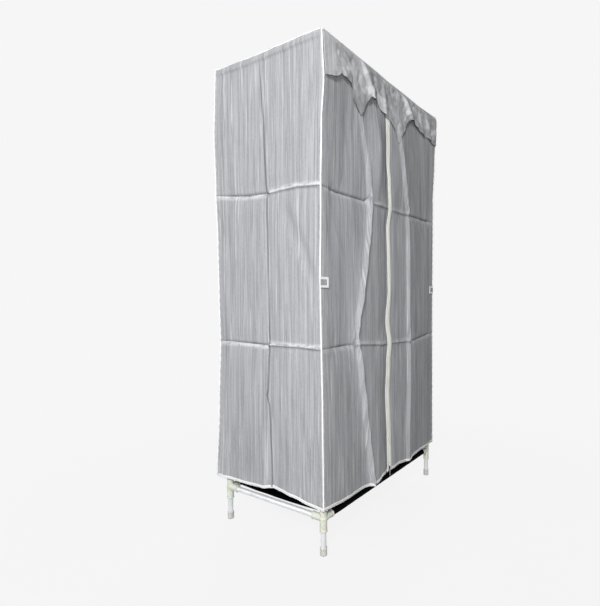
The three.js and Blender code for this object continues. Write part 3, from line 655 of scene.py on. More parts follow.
doorFold = {
    "bulgeFrom": (1.22, 1.38), "height": (0.0175, 0.0125), "lip": (0.0105, 0.007), "overEdge": (0.003, 0.001),
    "lowFrom": (0.6, 0.72), "rise": (0.08, 0.05), "valley": (0.007, 0.0035), "valleyReach": (0.13, 0.09),
    "bulge": 0.021, "bulgeSinks": 0.01, "sinksFrom": (1.47, 1.58), "bulgePlace": 0.085,
    "bulgeShare": (0.3, 1), "lipReach": 0.015, "fall": 0.2,
    "right": {"height": 0.0175, "rise": 0.12, "lip": 0.010, "edge": 0.006,
              "swell": 0.003, "swellPlace": 0.34},
}


def leftDoorFold(across, z):
    away = across - readTable(foldLines["leftDoor"], z)
    fromValley = across - readTable(foldLines["leftValley"], z)
    lower = 1 - smooth(*doorFold["lowFrom"], z)
    reach = doorFold["valleyReach"][0 if fromValley < 0 else 1]
    valley = -lerp(*doorFold["valley"], lower) * crease(fromValley, reach)
    above = smooth(*doorFold["bulgeFrom"], z)  # up here the cloth bulges beside the zip
    bulge = doorFold["bulge"] - doorFold["bulgeSinks"] * smooth(*doorFold["sinksFrom"], z)
    bulge *= crease(across + doorFold["bulgePlace"], doorFold["bulgePlace"])
    height = lerp(*doorFold["height"], above)
    rise, lip = lerp(*doorFold["rise"], lower), lerp(*doorFold["lip"], above)
    edge = height - lerp(*doorFold["overEdge"], above)
    upright = crest(away, height, rise, lip, doorFold["lipReach"], edge, doorFold["fall"])
    return upright + valley + bulge * lerp(*doorFold["bulgeShare"], above)


def rightDoorFold(across, z):
    away, size = across - readTable(foldLines["rightDoor"], z), doorFold["right"]
    upright = crest(away, size["height"], size["rise"], size["lip"], doorFold["lipReach"],
                    size["edge"], doorFold["fall"])
    return upright + size["swell"] * hump(across - size["swellPlace"], 0.05)


rearPost = {"line": 0.034, "bulge": 0.0045, "dip": 0.003, "edge": 0.006}
sideStep = {"swell": 0.003, "depth": 0.0052, "width": 0.0055, "back": 0.075}  # the upright fold of a side
backCrest = (0.009, 0.08, 0.001, 0.02, 0.002, 0.09)  # a fold of the back, as crest takes it
dragLine = [(0.9, 0.215), (1.0, 0.165), (1.1, 0.11), (1.2, 0.06)]  # left side's slack fold: height, place


def step(past, depth, width, back):  # the cloth steps in and comes out again slowly
    return -depth * (smooth(-width, 0, past) if past < 0 else crease(past, back))


def sideFold(side, across, z):
    rearSign = -1 if side == "left" else 1
    inward = -rearSign * (across - readTable(foldLines[side], z))  # away from the rear
    middle = sideStep["swell"] * crease(inward + 0.05, 0.05) - sideStep["swell"] * crease(inward - 0.02, 0.12)
    middle += step(inward, sideStep["depth"], sideStep["width"], sideStep["back"])
    fromRear = spanOf(side, z) - rearSign * across
    past = fromRear - rearPost["line"]
    roundPost = rearPost["bulge"] * (min(1, fromRear / rearPost["line"]) - smooth(-rearPost["edge"], 0, past))
    roundPost += step(past, rearPost["dip"], rearPost["edge"], 0.06)
    drag = 0
    if side == "left":  # the slack fold is dragged down towards the tab
        drag = -0.0055 * hump(across - straightTable(dragLine, z), 0.042)
        drag *= smooth(0.87, 0.93, z) * (1 - smooth(1.12, 1.21, z))
    return middle + roundPost + drag


def leftFold(across, z):
    return sideFold("left", across, z)


def rightFold(across, z):
    return sideFold("right", across, z)


def backFold(across, z):
    first = across - readTable(foldLines["backLeft"], z)
    second = across - readTable(foldLines["backRight"], z)
    return crest(first, *backCrest) + crest(-second, *backCrest)


besideCrease = (-0.034, -0.011, 0, 0.011, 0.034)
belowTop = (0.09, 0.034, 0.027, 0.02, 0.006, 0.0012)
rowCounts = [60, 4, 3, 3, 4, 62, 4, 3, 3, 4, 46, 7, 2, 3, 3, 1]  # rows of the grid from each stop to the next


def rowStops(side, across, bottom):  # heights that the rows of a panel follow
    stops = [bottom]
    for which in creaseLevels:
        line = creaseHeight(side, which, across)
        stops += [line + aside for aside in besideCrease]
    top = seamTop(side, across)
    return stops + [top - drop for drop in belowTop]


def stepAmong(stops, counts, index):
    for low, high, count in zip(stops, stops[1:], counts):
        if index <= count:
            return lerp(low, high, index / count)
        index -= count
    return stops[-1]


# lines: the places between the edges that some columns follow; counts: columns from each to the next
def coverPanel(name, side, lines, counts, edges, fold, uvShift):
    def acrossAt(column, z):
        first, last = edges(z)
        return stepAmong([first] + lines(z) + [last], counts, column)

    places = {}

    def placeAt(column, row):
        if (column, row) not in places:
            z = 1.0
            for _ in range(2):
                across = acrossAt(column, z)
                z = stepAmong(rowStops(side, across, hemAt(side, across) + 0.003), rowCounts, row)
            places[column, row] = acrossAt(column, z), z
        return places[column, row]

    def pointAt(column, row):
        across, z = placeAt(column, row)
        return onCover(side, across, z, relief(side, across, z, fold(across, z)))

    def uvAt(column, row):
        across, z = placeAt(column, row)
        (first, last), (flatFirst, flatLast) = edges(z), edges(1.0)
        return flatFirst + (across - first) / (last - first) * (flatLast - flatFirst) + uvShift, z

    return clothGrid(name, sum(counts), sum(rowCounts), pointAt, uvAt, cover["thickness"], coverCloth)


zipSize = {
    "tapeWidth": 0.0118, "tapeThickness": 0.001, "gap": 0.0008, "underTape": 0.0035, "rise": 0.0018,
    "parted": 0.0016, "toothPitch": 0.0024, "toothAside": 0.0010, "toothOut": 0.0008,
}
clothEdge = zipSize["gap"] + zipSize["tapeWidth"] - zipSize["underTape"]  # the door cloth ends under the tape


def besideFold(name, *steps):  # places beside a fold's line
    return lambda z: [readTable(foldLines[name], z) + aside for aside in steps]


def innerWidth(z):  # from the middle to the cloth's edge at a corner seam
    return halfWidth(z) - cover["setBack"]


def innerDepth(z):
    return halfDepth(z) - cover["setBack"]


def sidePanel(name, side, fold):
    rearSign = -1 if side == "left" else 1
    aside = besideFold(side, -0.03, -sideStep["width"], 0, sideStep["width"], 0.03)
    insets = rearPost["line"] - rearPost["edge"], rearPost["line"]

    def lines(z):
        rear = [rearSign * (halfDepth(z) - inset) for inset in insets]
        return rear + aside(z) if rearSign < 0 else aside(z) + rear[::-1]

    counts = [12, 3, 26, 6, 3, 3, 6, 44]
    if rearSign > 0:
        counts.reverse()
    return coverPanel(name, side, lines, counts, lambda z: (-innerDepth(z), innerDepth(z)), fold,
                      panelShift[side])


def leftDoorLines(z):
    return besideFold("leftValley", 0)(z) + besideFold("leftDoor", -0.016, 0, edgeWidth)(z)


def backLines(z):
    return besideFold("backLeft", 0)(z) + besideFold("backRight", 0)(z)


doorLeft = coverPanel("doorLeftCloth", "front", leftDoorLines, [40, 14, 7, 3, 28],
                      lambda z: (-innerWidth(z), -clothEdge), leftDoorFold, panelShift["leftDoor"])
doorRight = coverPanel("doorRightCloth", "front", besideFold("rightDoor", -0.05, -0.017, 0, edgeWidth),
                       [20, 9, 7, 3, 50], lambda z: (clothEdge, innerWidth(z)), rightDoorFold,
                       panelShift["rightDoor"])
panelLeft = sidePanel("coverLeftCloth", "left", leftFold)
panelRight = sidePanel("coverRightCloth", "right", rightFold)
panelBack = coverPanel("coverBackCloth", "back", backLines, [45, 56, 45],
                       lambda z: (-innerWidth(z), innerWidth(z)), backFold, panelShift["back"])
print("upright cloth made")

topCloth = {"sag": 0.005, "ripple": 0.0012, "step": 0.006, "columns": 138, "rows": 80, "wanderReach": 0.3}


def topPoint(column, row):
    shareX, shareY = 2 * column / topCloth["columns"] - 1, 2 * row / topCloth["rows"] - 1
    wide, deep = cover["halfWidth"] - cover["setBack"], cover["halfDepth"] - cover["setBack"]
    x, y = shareX * wide, shareY * deep
    frontZ = seamTop("front", x) if abs(shareY) > abs(shareX) else seamTop("left", y)
    edge = min((1 - abs(shareX)) * wide, (1 - abs(shareY)) * deep)
    drop = cover["seam"] - frontZ if edge < 0.05 else 0
    z = cover["seam"] - drop * (1 - smooth(0, 0.05, edge))
    z -= topCloth["sag"] * smooth(0.004, 0.14, edge) * (1 - 0.25 * noise.noise(Vector((x * 5, y * 5, 1))))
    z += topCloth["ripple"] * noise.noise(Vector((x * 16, y * 16, 9))) * smooth(0, 0.03, edge)
    point, reach = Vector((x, y, z)), topCloth["wanderReach"]
    for signX in (-1, 1):
        for signY in (-1, 1):
            near = (1 - min(1, abs(signX * wide - x) / reach)) * (1 - min(1, abs(signY * deep - y) / reach))
            point += cornerWander((signX, signY), cover["seam"]) * near * near
    return point


panelTop = clothGrid("coverTopCloth", topCloth["columns"], topCloth["rows"], topPoint,
                     lambda c, r: (c * topCloth["step"] + panelShift["top"], r * topCloth["step"]),
                     cover["thickness"], coverCloth)
doorDraw = {"travel": 0.315, "pastSeam": 0.0035}  # how far a door is drawn, and where its gathered end stays


def squashDoor(piece, sign):
    nominal = cover["halfWidth"] + doorDraw["pastSeam"]
    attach(piece, "root")
    "door_left_draw" if sign < 0 else "door_right_draw"
    sign * nominal
    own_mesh(piece)


def cornerPath(corner, low, high, step=0.012):  # up a corner seam
    count = max(2, round((high - low) / step))
    heights = [lerp(low, high, i / count) for i in range(count + 1)]
    return [Vector((corner[0] * halfWidth(z), corner[1] * halfDepth(z), z)) + cornerWander(corner, z)
            for z in heights]


def topPath(side, trim, step=0.012):  # along a top seam, from left to right as seen from outside
    span = spanOf(side, cover["seam"]) - trim
    count = round(2 * span / step)
    points = []
    for i in range(count + 1):
        across = lerp(-span, span, i / count)
        points.append(onCover(side, across, seamTop(side, across), 0))
    return points


cord = circle(cover["pipingRadius"], cover["pipingSides"])
loopBend = {"below": 0.006, "trim": 0.007, "lift": 0.0022, "reach": 0.005, "share": 0.35}  # at a top corner


def pipingLoop(name, side, startLow, endLow):  # up one corner seam, along the top and down the other
    leftCorner, rightCorner = cornerOf(side, -1), cornerOf(side, 1)
    top = cover["seam"] - cover["droop"] - loopBend["below"]
    rising = cornerPath(leftCorner, startLow, top)
    falling = list(reversed(cornerPath(rightCorner, endLow, top)))
    across = topPath(side, loopBend["trim"])
    bends = []
    for corner, below, beside in ((leftCorner, rising[-1], across[0]), (rightCorner, falling[0], across[-1])):
        bend = (below + beside) / 2 + Vector((0, 0, loopBend["lift"]))
        above = cornerPath(corner, top + loopBend["reach"], top + loopBend["reach"] + 0.001)[0]
        bends.append(bend + (above - bend) * loopBend["share"])
    path = rising + bends[:1] + across + bends[1:] + falling
    return sweep(name, path, cord, sideAxes[side][1], whiteBinding)


hemHalf, hemDeep = halfWidth(cover["hem"]), halfDepth(cover["hem"])
pipingFront = pipingLoop("pipingFront", "front", hemAt("front", -hemHalf) + 0.004,
                         hemAt("front", hemHalf) + 0.004)
pipingRear = pipingLoop("pipingRear", "back", hemAt("back", -0.42) + 0.006, hemAt("back", 0.42) + 0.006)
pipingLeft = sweep("pipingTopLeft", topPath("left", 0.004), cord, zAxis, whiteBinding)
pipingRight = sweep("pipingTopRight", topPath("right", 0.004), cord, zAxis, whiteBinding)


def bindingProfile(thickness, height):  # a folded tape: rounded below, two edges above
    half, soft, top = thickness / 2, thickness * 0.35, height + 0.0003
    return [(-half, height), (-half, soft), (-half * 0.55, soft * 0.3), (0, 0), (half * 0.55, soft * 0.3),
            (half, soft), (half, height), (half * 0.4, top), (-half * 0.4, top)]


def hemPoint(side, across, fold):
    z = hemAt(side, across)
    return onCover(side, across, z, relief(side, across, z, fold(across, z))) - zAxis * 0.001


def hemPath(side, first, last, fold, step=0.006):
    count = round(abs(last - first) / step)
    return [hemPoint(side, lerp(first, last, i / count), fold) for i in range(count + 1)]


def hemBinding(name, path):
    profile = bindingProfile(cover["bindingThickness"], cover["bindingHeight"])
    return sweep(name, path, profile, zAxis, whiteBinding, 50)


hemLeftDoor = hemBinding("doorLeftHem", hemPath("front", -hemHalf + 0.0005, -0.0032, leftDoorFold))
hemRightDoor = hemBinding("doorRightHem", hemPath("front", 0.0032, hemHalf - 0.0005, rightDoorFold))
hemAround = hemPath("right", -hemDeep + 0.001, hemDeep - 0.004, rightFold)
hemAround += hemPath("back", -hemHalf + 0.004, hemHalf - 0.004, backFold)
hemAround += hemPath("left", -hemDeep + 0.004, hemDeep - 0.001, leftFold)
hemCover = hemBinding("coverHem", hemAround)
print("piping and bindings made")


def repeatTree(name, item, material):  # an item every few millimetres along the edges of a mesh
    tree = bpy.data.node_groups.new(name, "GeometryNodeTree")
    for socket, kind in (("Geometry", "Geometry"), ("Pitch", "Float"), ("Tilt", "Float"), ("Seed", "Int")):
        tree.interface.new_socket(socket, in_out="INPUT", socket_type="NodeSocket" + kind)
    tree.interface.new_socket("Geometry", in_out="OUTPUT", socket_type="NodeSocketGeometry")

    def add(kind, settings=None, **sockets):
        node = tree.nodes.new(kind)
        for key, setting in (settings or {}).items():
            setattr(node, key, setting)
        for key, value in sockets.items():
            target = node.inputs[key.replace("_", " ")]
            if isinstance(value, bpy.types.NodeSocket):
                tree.links.new(value, target)
            else:
                target.default_value = value
        return node

    given = add("NodeGroupInput").outputs
    curve = add("GeometryNodeMeshToCurve", Mesh=given["Geometry"])
    spaced = add("GeometryNodeResampleCurve", {"mode": "LENGTH"}, Curve=curve.outputs[0],
                 Length=given["Pitch"])
    tangent = add("GeometryNodeInputTangent")
    along = add("FunctionNodeAlignEulerToVector", {"axis": "X"}, Vector=tangent.outputs[0])
    wobble = add("FunctionNodeRandomValue", {"data_type": "FLOAT"}, Seed=given["Seed"])
    for socket, value in (("Min", -1.0), ("Max", 1.0)):
        [s for s in wobble.inputs if s.name == socket and s.type == "VALUE"][0].default_value = value
    tilt = add("ShaderNodeMath", {"operation": "MULTIPLY"})
    tree.links.new([s for s in wobble.outputs if s.type == "VALUE"][0], tilt.inputs[0])
    tree.links.new(given["Tilt"], tilt.inputs[1])
    turn = add("ShaderNodeCombineXYZ", Z=tilt.outputs[0])
    turned = add("FunctionNodeRotateEuler", {"space": "LOCAL"}, Rotation=along.outputs[0],
                 Rotate_By=turn.outputs[0])
    source = add("GeometryNodeObjectInfo", Object=item)
    placed = add("GeometryNodeInstanceOnPoints", Points=spaced.outputs[0],
                 Instance=source.outputs["Geometry"], Rotation=turned.outputs[0])
    real = add("GeometryNodeRealizeInstances", Geometry=placed.outputs[0])
    painted = add("GeometryNodeSetMaterial", Geometry=real.outputs[0], Material=material)
    out = tree.nodes.new("NodeGroupOutput")
    tree.links.new(painted.outputs[0], out.inputs[0])
    return tree


def repeatAlong(name, paths, tree, pitch, tilt, seed):  # the finished plain mesh of one row or more
    mesh = bpy.data.meshes.new(name)
    vertices, edges = [], []
    for path in paths:
        start = len(vertices)
        vertices += [tuple(p) for p in path]
        edges += [(start + i, start + i + 1) for i in range(len(path) - 1)]
    mesh.from_pydata(vertices, edges, [])
    piece = bpy.data.objects.new(name, mesh)
    bpy.context.scene.collection.objects.link(piece)
    modifier = piece.modifiers.new("repeat", "NODES")
    modifier.node_group = tree
    identifiers = {item.name: item.identifier for item in tree.interface.items_tree if item.in_out == "INPUT"}
    for socket, value in (("Pitch", pitch), ("Tilt", tilt), ("Seed", seed)):
        modifier[identifiers[socket]] = value
    applied(piece)
    for polygon in piece.data.polygons:
        polygon.use_smooth = True
    return piece


def sourceMesh(name, vertices, meshFaces):
    mesh = bpy.data.meshes.new(name)
    mesh.from_pydata([tuple(v) for v in vertices], [], meshFaces)
    return bpy.data.objects.new(name, mesh)


def stitchShape(length, radius):  # a short rounded thread along X
    vertices, meshFaces = [], []
    rings = [(-0.5, 0.35), (-0.25, 1), (0.25, 1), (0.5, 0.35)]
    for place, wide in rings:
        for y, z in circle(radius * wide, 5):
            vertices.append((place * length, y, z))
    for ring in range(3):
        for i in range(5):
            here, turn = ring * 5 + i, ring * 5 + (i + 1) % 5
            meshFaces.append((here, here + 5, turn + 5, turn))
    meshFaces += [(0, 1, 2, 3, 4), (19, 18, 17, 16, 15)]
    return vertices, meshFaces


stitch = {
    "length": 0.0026, "radius": 0.00032, "pitch": 0.0038, "tilt": 0.12, "inset": 0.0045,
    "belowTop": 0.0065, "endsBelow": 0.012, "lowest": 0.18, "inBinding": 0.0016,
}
stitchItem = sourceMesh("stitchItem", *stitchShape(stitch["length"], stitch["radius"]))
stitchTree = repeatTree("stitchRow", stitchItem, stitchThread)


def onCloth(side, across, z, fold):  # a point on the outer skin of the cloth
    return onCover(side, across, z, relief(side, across, z, fold(across, z)) + cover["thickness"] / 2)


def seamPath(side, sign, fold, step=0.01):  # beside a corner seam
    low, high = stitch["lowest"], cover["seam"] - stitch["endsBelow"]
    count = round((high - low) / step)
    heights = [lerp(low, high, i / count) for i in range(count + 1)]
    return [onCloth(side, sign * (spanOf(side, z) - stitch["inset"]), z, fold) for z in heights]


def underTopPath(side, first, last, fold, step=0.008):  # below a top seam
    count = round((last - first) / step)
    places = [lerp(first, last, i / count) for i in range(count + 1)]
    return [onCloth(side, across, seamTop(side, across) - stitch["belowTop"], fold) for across in places]


def hemStitchPath(side, first, last, fold):
    outward = sideAxes[side][1] * (cover["bindingThickness"] / 2)
    upward = zAxis * (cover["bindingHeight"] - stitch["inBinding"])
    return [point + outward + upward for point in hemPath(side, first, last, fold)]


def stitchRows(name, paths, seed):
    return repeatAlong(name, paths, stitchTree, stitch["pitch"], stitch["tilt"], seed)


deep, wide = cover["halfDepth"] - stitch["endsBelow"], cover["halfWidth"] - stitch["endsBelow"]
coverStitchPaths = [hemStitchPath("right", -hemDeep + 0.004, hemDeep - 0.005, rightFold),
                    hemStitchPath("back", -hemHalf + 0.005, hemHalf - 0.005, backFold),
                    hemStitchPath("left", -hemDeep + 0.005, hemDeep - 0.004, leftFold)]
for side, fold in (("left", leftFold), ("right", rightFold), ("back", backFold)):
    limit = wide if side == "back" else deep
    coverStitchPaths += [seamPath(side, -1, fold), seamPath(side, 1, fold),
                         underTopPath(side, -limit, limit, fold)]
coverStitches = stitchRows("coverStitches", coverStitchPaths, 4)
leftStitches = stitchRows("doorLeftStitches", [
    hemStitchPath("front", -hemHalf + 0.004, -0.004, leftDoorFold), seamPath("front", -1, leftDoorFold),
    underTopPath("front", -wide, -0.02, leftDoorFold)], 5)
rightStitches = stitchRows("doorRightStitches", [
    hemStitchPath("front", 0.004, hemHalf - 0.004, rightDoorFold), seamPath("front", 1, rightDoorFold),
    underTopPath("front", 0.02, wide, rightDoorFold)], 6)
print("stitches made")

# how wide the tape shows: height, share of its full width
tapeSpread = [(0.16, 1.3), (0.72, 1.3), (0.8, 1.22), (0.88, 1), (1.2, 1), (1.45, 1.08), (1.54, 1.28)]
tapeTop = cover["seam"] - 0.0032
zipEnd = hemAt("front", 0)


def tapeRise(z):  # the zip stands out a little, but lies flat where the slider stops and at the top
    atEnd = 1 - smooth(zipEnd + 0.02, zipEnd + 0.05, z)
    atTop = max(smooth(1.39, 1.42, z) * (1 - smooth(1.48, 1.51, z)), smooth(1.56, 1.6, z))
    return zipSize["rise"] * (1 - max(atEnd, atTop))


def tapePoint(sign, share, z, proud):  # share: from the teeth to the tape's sewn edge
    parted = zipSize["parted"] * (1 - smooth(zipEnd - 0.002, zipEnd + 0.01, z))
    across = zipSize["gap"] + parted + zipSize["tapeWidth"] * readTable(tapeSpread, z) * share
    return onCover("front", sign * across, z, proud + 0.0004 + tapeRise(z) * (1 - share))


def makeTape(name, sign):
    shares = [0, 0.22, 0.45, 0.7, 0.9, 1]
    rows, columns = 300, len(shares) - 1
    low = zipEnd - 0.002

    def pointAt(column, row):
        share = shares[column] if sign > 0 else shares[columns - column]
        z = lerp(low, tapeTop, row / rows)
        ripple = 0.0005 * noise.noise(Vector((share * 2, z * 30, sign * 3)))
        return tapePoint(sign, share, z, ripple + 0.0006 * smooth(0.3, 0.9, share))

    def uvAt(column, row):
        return row * (tapeTop - low) / rows, column * 0.003

    return clothGrid(name, columns, rows, pointAt, uvAt, zipSize["tapeThickness"], zipTape)


tapeLeft, tapeRight = makeTape("zipTapeLeft", -1), makeTape("zipTapeRight", 1)

toothSize = {"width": 0.0030, "height": 0.0012, "depth": 0.0021}


def toothShape(size):  # a coil turn: X runs up the zip, Y across it
    h, w, d = size["height"] / 2, size["width"] / 2, size["depth"] / 2
    profile = [(-w, -d * 0.4), (-w, d * 0.4), (-w * 0.7, d), (w * 0.6, d),
               (w, d * 0.45), (w, -d * 0.45), (w * 0.6, -d), (-w * 0.7, -d)]
    vertices, meshFaces = [], []
    for place, narrow in ((-h, 0.8), (0, 1), (h, 0.8)):
        vertices += [(place, y * narrow, z * narrow) for y, z in profile]
    for ring in range(2):
        for i in range(8):
            here, turn = ring * 8 + i, ring * 8 + (i + 1) % 8
            meshFaces.append((here, here + 8, turn + 8, turn))
    meshFaces += [tuple(range(8)), tuple(reversed(range(16, 24)))]
    return vertices, meshFaces


toothItem = sourceMesh("toothItem", *toothShape(toothSize))
toothTree = repeatTree("toothRow", toothItem, zipPlastic)


def makeTeeth(name, sign, low, seed):
    high, count = tapeTop - 0.004, 300
    heights = [lerp(low, high, i / count) for i in range(count + 1)]
    path = [onCover("front", sign * zipSize["toothAside"], z, zipSize["toothOut"] + tapeRise(z))
            for z in heights]
    return repeatAlong(name, [path], toothTree, zipSize["toothPitch"], 0.0, seed)


teethLow = zipEnd + 0.008
teethLeft = makeTeeth("zipTeethLeft", -1, teethLow, 1)
teethRight = makeTeeth("zipTeethRight", 1, teethLow + zipSize["toothPitch"] / 2, 2)


def slab(outline, thickness, centre, bevel):  # a flat plate with rounded edges, its outline in (x, z)
    vertices, count = [], len(outline)
    middleX = sum(p[0] for p in outline) / count
    middleZ = sum(p[1] for p in outline) / count
    for level, shrink in ((-0.5, bevel), (-0.5 + bevel / thickness, 0), (0.5 - bevel / thickness, 0),
                          (0.5, bevel)):
        for x, z in outline:
            dx, dz = x - middleX, z - middleZ
            size = math.hypot(dx, dz) or 1
            factor = (size - shrink) / size
            vertices.append(centre + Vector((middleX + dx * factor, level * thickness,
                                             middleZ + dz * factor)))
    meshFaces = []
    for ring in range(3):
        for i in range(count):
            here, turn = ring * count + i, ring * count + (i + 1) % count
            meshFaces.append((here, turn, turn + count, here + count))
    meshFaces += [tuple(reversed(range(count))), tuple(range(3 * count, 4 * count))]
    return vertices, meshFaces


def joined(parts):
    vertices, meshFaces = [], []
    for partVertices, partFaces in parts:
        start = len(vertices)
        vertices += partVertices
        meshFaces += [tuple(i + start for i in face) for face in partFaces]
    return vertices, meshFaces


def roundedOutline(width, height, corner, steps=5, narrowTop=1.0):
    points = []
    for cx, cz, turn in ((1, 1, 0), (-1, 1, 1), (-1, -1, 2), (1, -1, 3)):
        for i in range(steps + 1):
            angle = math.pi / 2 * (turn + i / steps)
            x = cx * (width / 2 - corner) + corner * math.cos(angle)
            z = cz * (height / 2 - corner) + corner * math.sin(angle)
            points.append((x * (narrowTop if z > 0 else 1), z))
    return points


sliderLow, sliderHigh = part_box("zip_slider")
pullerLow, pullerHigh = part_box("zip_puller")
sliderSize = {
    "plate": 0.0012, "apart": 0.0030, "corner": 0.0035, "waist": 0.22, "soft": 0.00035, "bridge": 0.0013,
    "bridgeLength": 0.005, "ear": 0.0015, "earLength": 0.004, "rim": 0.0011, "rimShare": 0.72,
}


def makeSlider():
    centre = Vector((0, 0, (sliderLow.z + sliderHigh.z) / 2))
    width, height = sliderHigh.x - sliderLow.x, sliderHigh.z - sliderLow.z
    backY = sliderHigh.y - sliderSize["plate"] / 2
    earFront, frontY = sliderLow.y, sliderHigh.y - sliderSize["apart"] - sliderSize["plate"] / 2
    shape = []
    for x, z in roundedOutline(width, height, sliderSize["corner"], 6):
        waist = 1 - sliderSize["waist"] * hump(z + 0.001, 0.006) if abs(z) < 0.007 else 1
        shape.append((x * waist, z))
    parts = []
    for y in (backY, frontY):
        parts.append(slab(shape, sliderSize["plate"], centre + Vector((0, y, 0)), sliderSize["soft"]))
    bridge = roundedOutline(sliderSize["bridge"], sliderSize["bridgeLength"], 0.0005, 3)
    parts.append(slab(bridge, backY - frontY + 0.0004, centre + Vector((0, (backY + frontY) / 2, 0)), 0.0002))
    ear = roundedOutline(sliderSize["ear"], sliderSize["earLength"], 0.0005, 3)
    for sign in (-1, 1):
        x = sign * ((pullerHigh.x - pullerLow.x) / 2 - 0.00078)
        parts.append(slab(ear, frontY - earFront, centre + Vector((x, (frontY + earFront) / 2, 0)), 0.0003))
    rim = roundedOutline(sliderSize["rim"], height * sliderSize["rimShare"], 0.0004, 3)
    for sign in (-1, 1):  # turned-in rims that guide the tapes
        for y in (frontY + 0.0009, backY - 0.0009):
            parts.append(slab(rim, 0.0008, centre + Vector((sign * (width / 2 - 0.0012), y, -0.001)), 0.0002))
    return recalculated(makePiece("zipSliderBody", *joined(parts), [zipMetal], None, 35))


pullerSize = {
    "width": 0.0050, "corner": 0.0018, "thickness": 0.0014, "pin": 0.0008, "edge": 0.0002,
    "holeWidth": 0.0024, "holeCorner": 0.0011, "holeShare": 0.42, "holePlace": 0.62,
}


def makePuller():
    pinRadius, y = pullerSize["pin"], (pullerLow.y + pullerHigh.y) / 2
    pinZ, length = pullerHigh.z - pinRadius, pullerHigh.z - pullerLow.z
    tag = roundedOutline(pullerSize["width"], length, pullerSize["corner"], 6)
    hole = roundedOutline(pullerSize["holeWidth"], length * pullerSize["holeShare"],
                          pullerSize["holeCorner"], 6)
    outer = [(x, z - length / 2 + pinRadius) for x, z in tag]
    inner = [(x, z - length * pullerSize["holePlace"]) for x, z in hole]
    vertices, meshFaces, count = [], [], len(outer)
    for level in (-0.5, 0.5):
        for ring in (outer, inner):
            vertices += [Vector((x, y + level * pullerSize["thickness"], pinZ + z)) for x, z in ring]
    for i in range(count):
        turn = (i + 1) % count
        meshFaces.append((i, turn, count + turn, count + i))
        meshFaces.append((2 * count + i, 3 * count + i, 3 * count + turn, 2 * count + turn))
        meshFaces.append((i, 2 * count + i, 2 * count + turn, turn))
        meshFaces.append((count + i, count + turn, 3 * count + turn, 3 * count + i))
    half, edge = (pullerHigh.x - pullerLow.x) / 2, pullerSize["edge"]
    pinOutline = [(0, -half), (pinRadius - 0.0001, -half), (pinRadius, -half + edge),
                  (pinRadius, half - edge), (pinRadius - 0.0001, half), (0, half)]
    pin = lathed(pinOutline, xAxis, Vector((0, y, pinZ)), 14, False)
    piece = recalculated(makePiece("zipPullerTag", *joined([(vertices, meshFaces), pin]),
                                   [pullerMetal], None, 35))
    bevel = piece.modifiers.new("edge", "BEVEL")
    bevel.width, bevel.segments, bevel.limit_method, bevel.angle_limit = edge, 2, "ANGLE", math.radians(50)
    return applied(piece)


slider, puller = makeSlider(), makePuller()
print("zip made")


# the valance from its left end (-1) to its right end (1): share, drop
valanceDrop = [(-1, 0.134), (-0.985, 0.136), (-0.9, 0.128), (-0.84, 0.12), (-0.785, 0.102), (-0.7, 0.104),
               (-0.635, 0.112), (-0.62, 0.16), (-0.55, 0.18), (-0.487, 0.2), (-0.45, 0.172), (-0.4, 0.14),
               (-0.345, 0.11), (-0.315, 0.117), (-0.25, 0.105), (-0.17, 0.128), (-0.09, 0.138),
               (-0.03, 0.143), (0.04, 0.15), (0.12, 0.18), (0.195, 0.215), (0.27, 0.165), (0.35, 0.112),
               (0.43, 0.09), (0.47, 0.084), (0.52, 0.09), (0.6, 0.1), (0.74, 0.115), (0.85, 0.112),
               (0.93, 0.13), (1, 0.125)]
# share, how far it stands out
valanceStand = [(-1, 0.3), (-0.87, 0.75), (-0.77, 0.4), (-0.62, 0.9), (-0.487, 0.65), (-0.33, 1),
                (-0.25, 0.5), (-0.09, 0.8), (0.03, 0.55), (0.195, 0.7), (0.34, 1), (0.505, 0.5), (0.6, 0.85),
                (0.77, 0.55), (1, 0.3)]
valance = {
    "stand": 0.0085, "topStand": 0.0019, "endGap": 0.0033, "columns": 190, "rows": 44, "thickness": 0.0007,
    "crumple": 0.0065, "raggedEdge": 0.0025, "least": 0.0016,
    "smoothTo": (-0.94, -0.78),  # the near end hangs smooth
}
# the valance on the flat cloth: its place, metres a column and metres a row
valanceFlat = {"start": 13.3, "across": 0.00435, "up": 0.003}
valanceShadePaint = {  # painted shade on the valance, darker by these amounts along its width: share, dark
    "across": [(-1, 0.19), (-0.8, 0.2), (-0.62, 0.28), (-0.3, 0.23), (0.2, 0.26), (0.5, 0.29), (1, 0.25)],
    "pale": 0.5, "shadow": 0.22, "facet": 0.3, "facetsAcross": 28, "facetsUp": 36, "bend": 0.9,
    "paleFromRise": 0.01,  # only a pleat that rises more than this has a painted highlight on its flank
}
pleats = [  # share at the top, share at the lower edge, rise, how far it fades to the right
    (-0.44, -0.31, 0.011, 0.045), (-0.12, -0.07, 0.005, 0.03), (0.28, 0.46, 0.012, 0.05),
    (0.62, 0.70, 0.005, 0.04), (0.80, 0.86, 0.004, 0.03),
]


def flatShare(share):  # a share of the valance's width as a place on the flat cloth
    return valanceFlat["start"] + valanceFlat["across"] * valance["columns"] * (share + 1) / 2


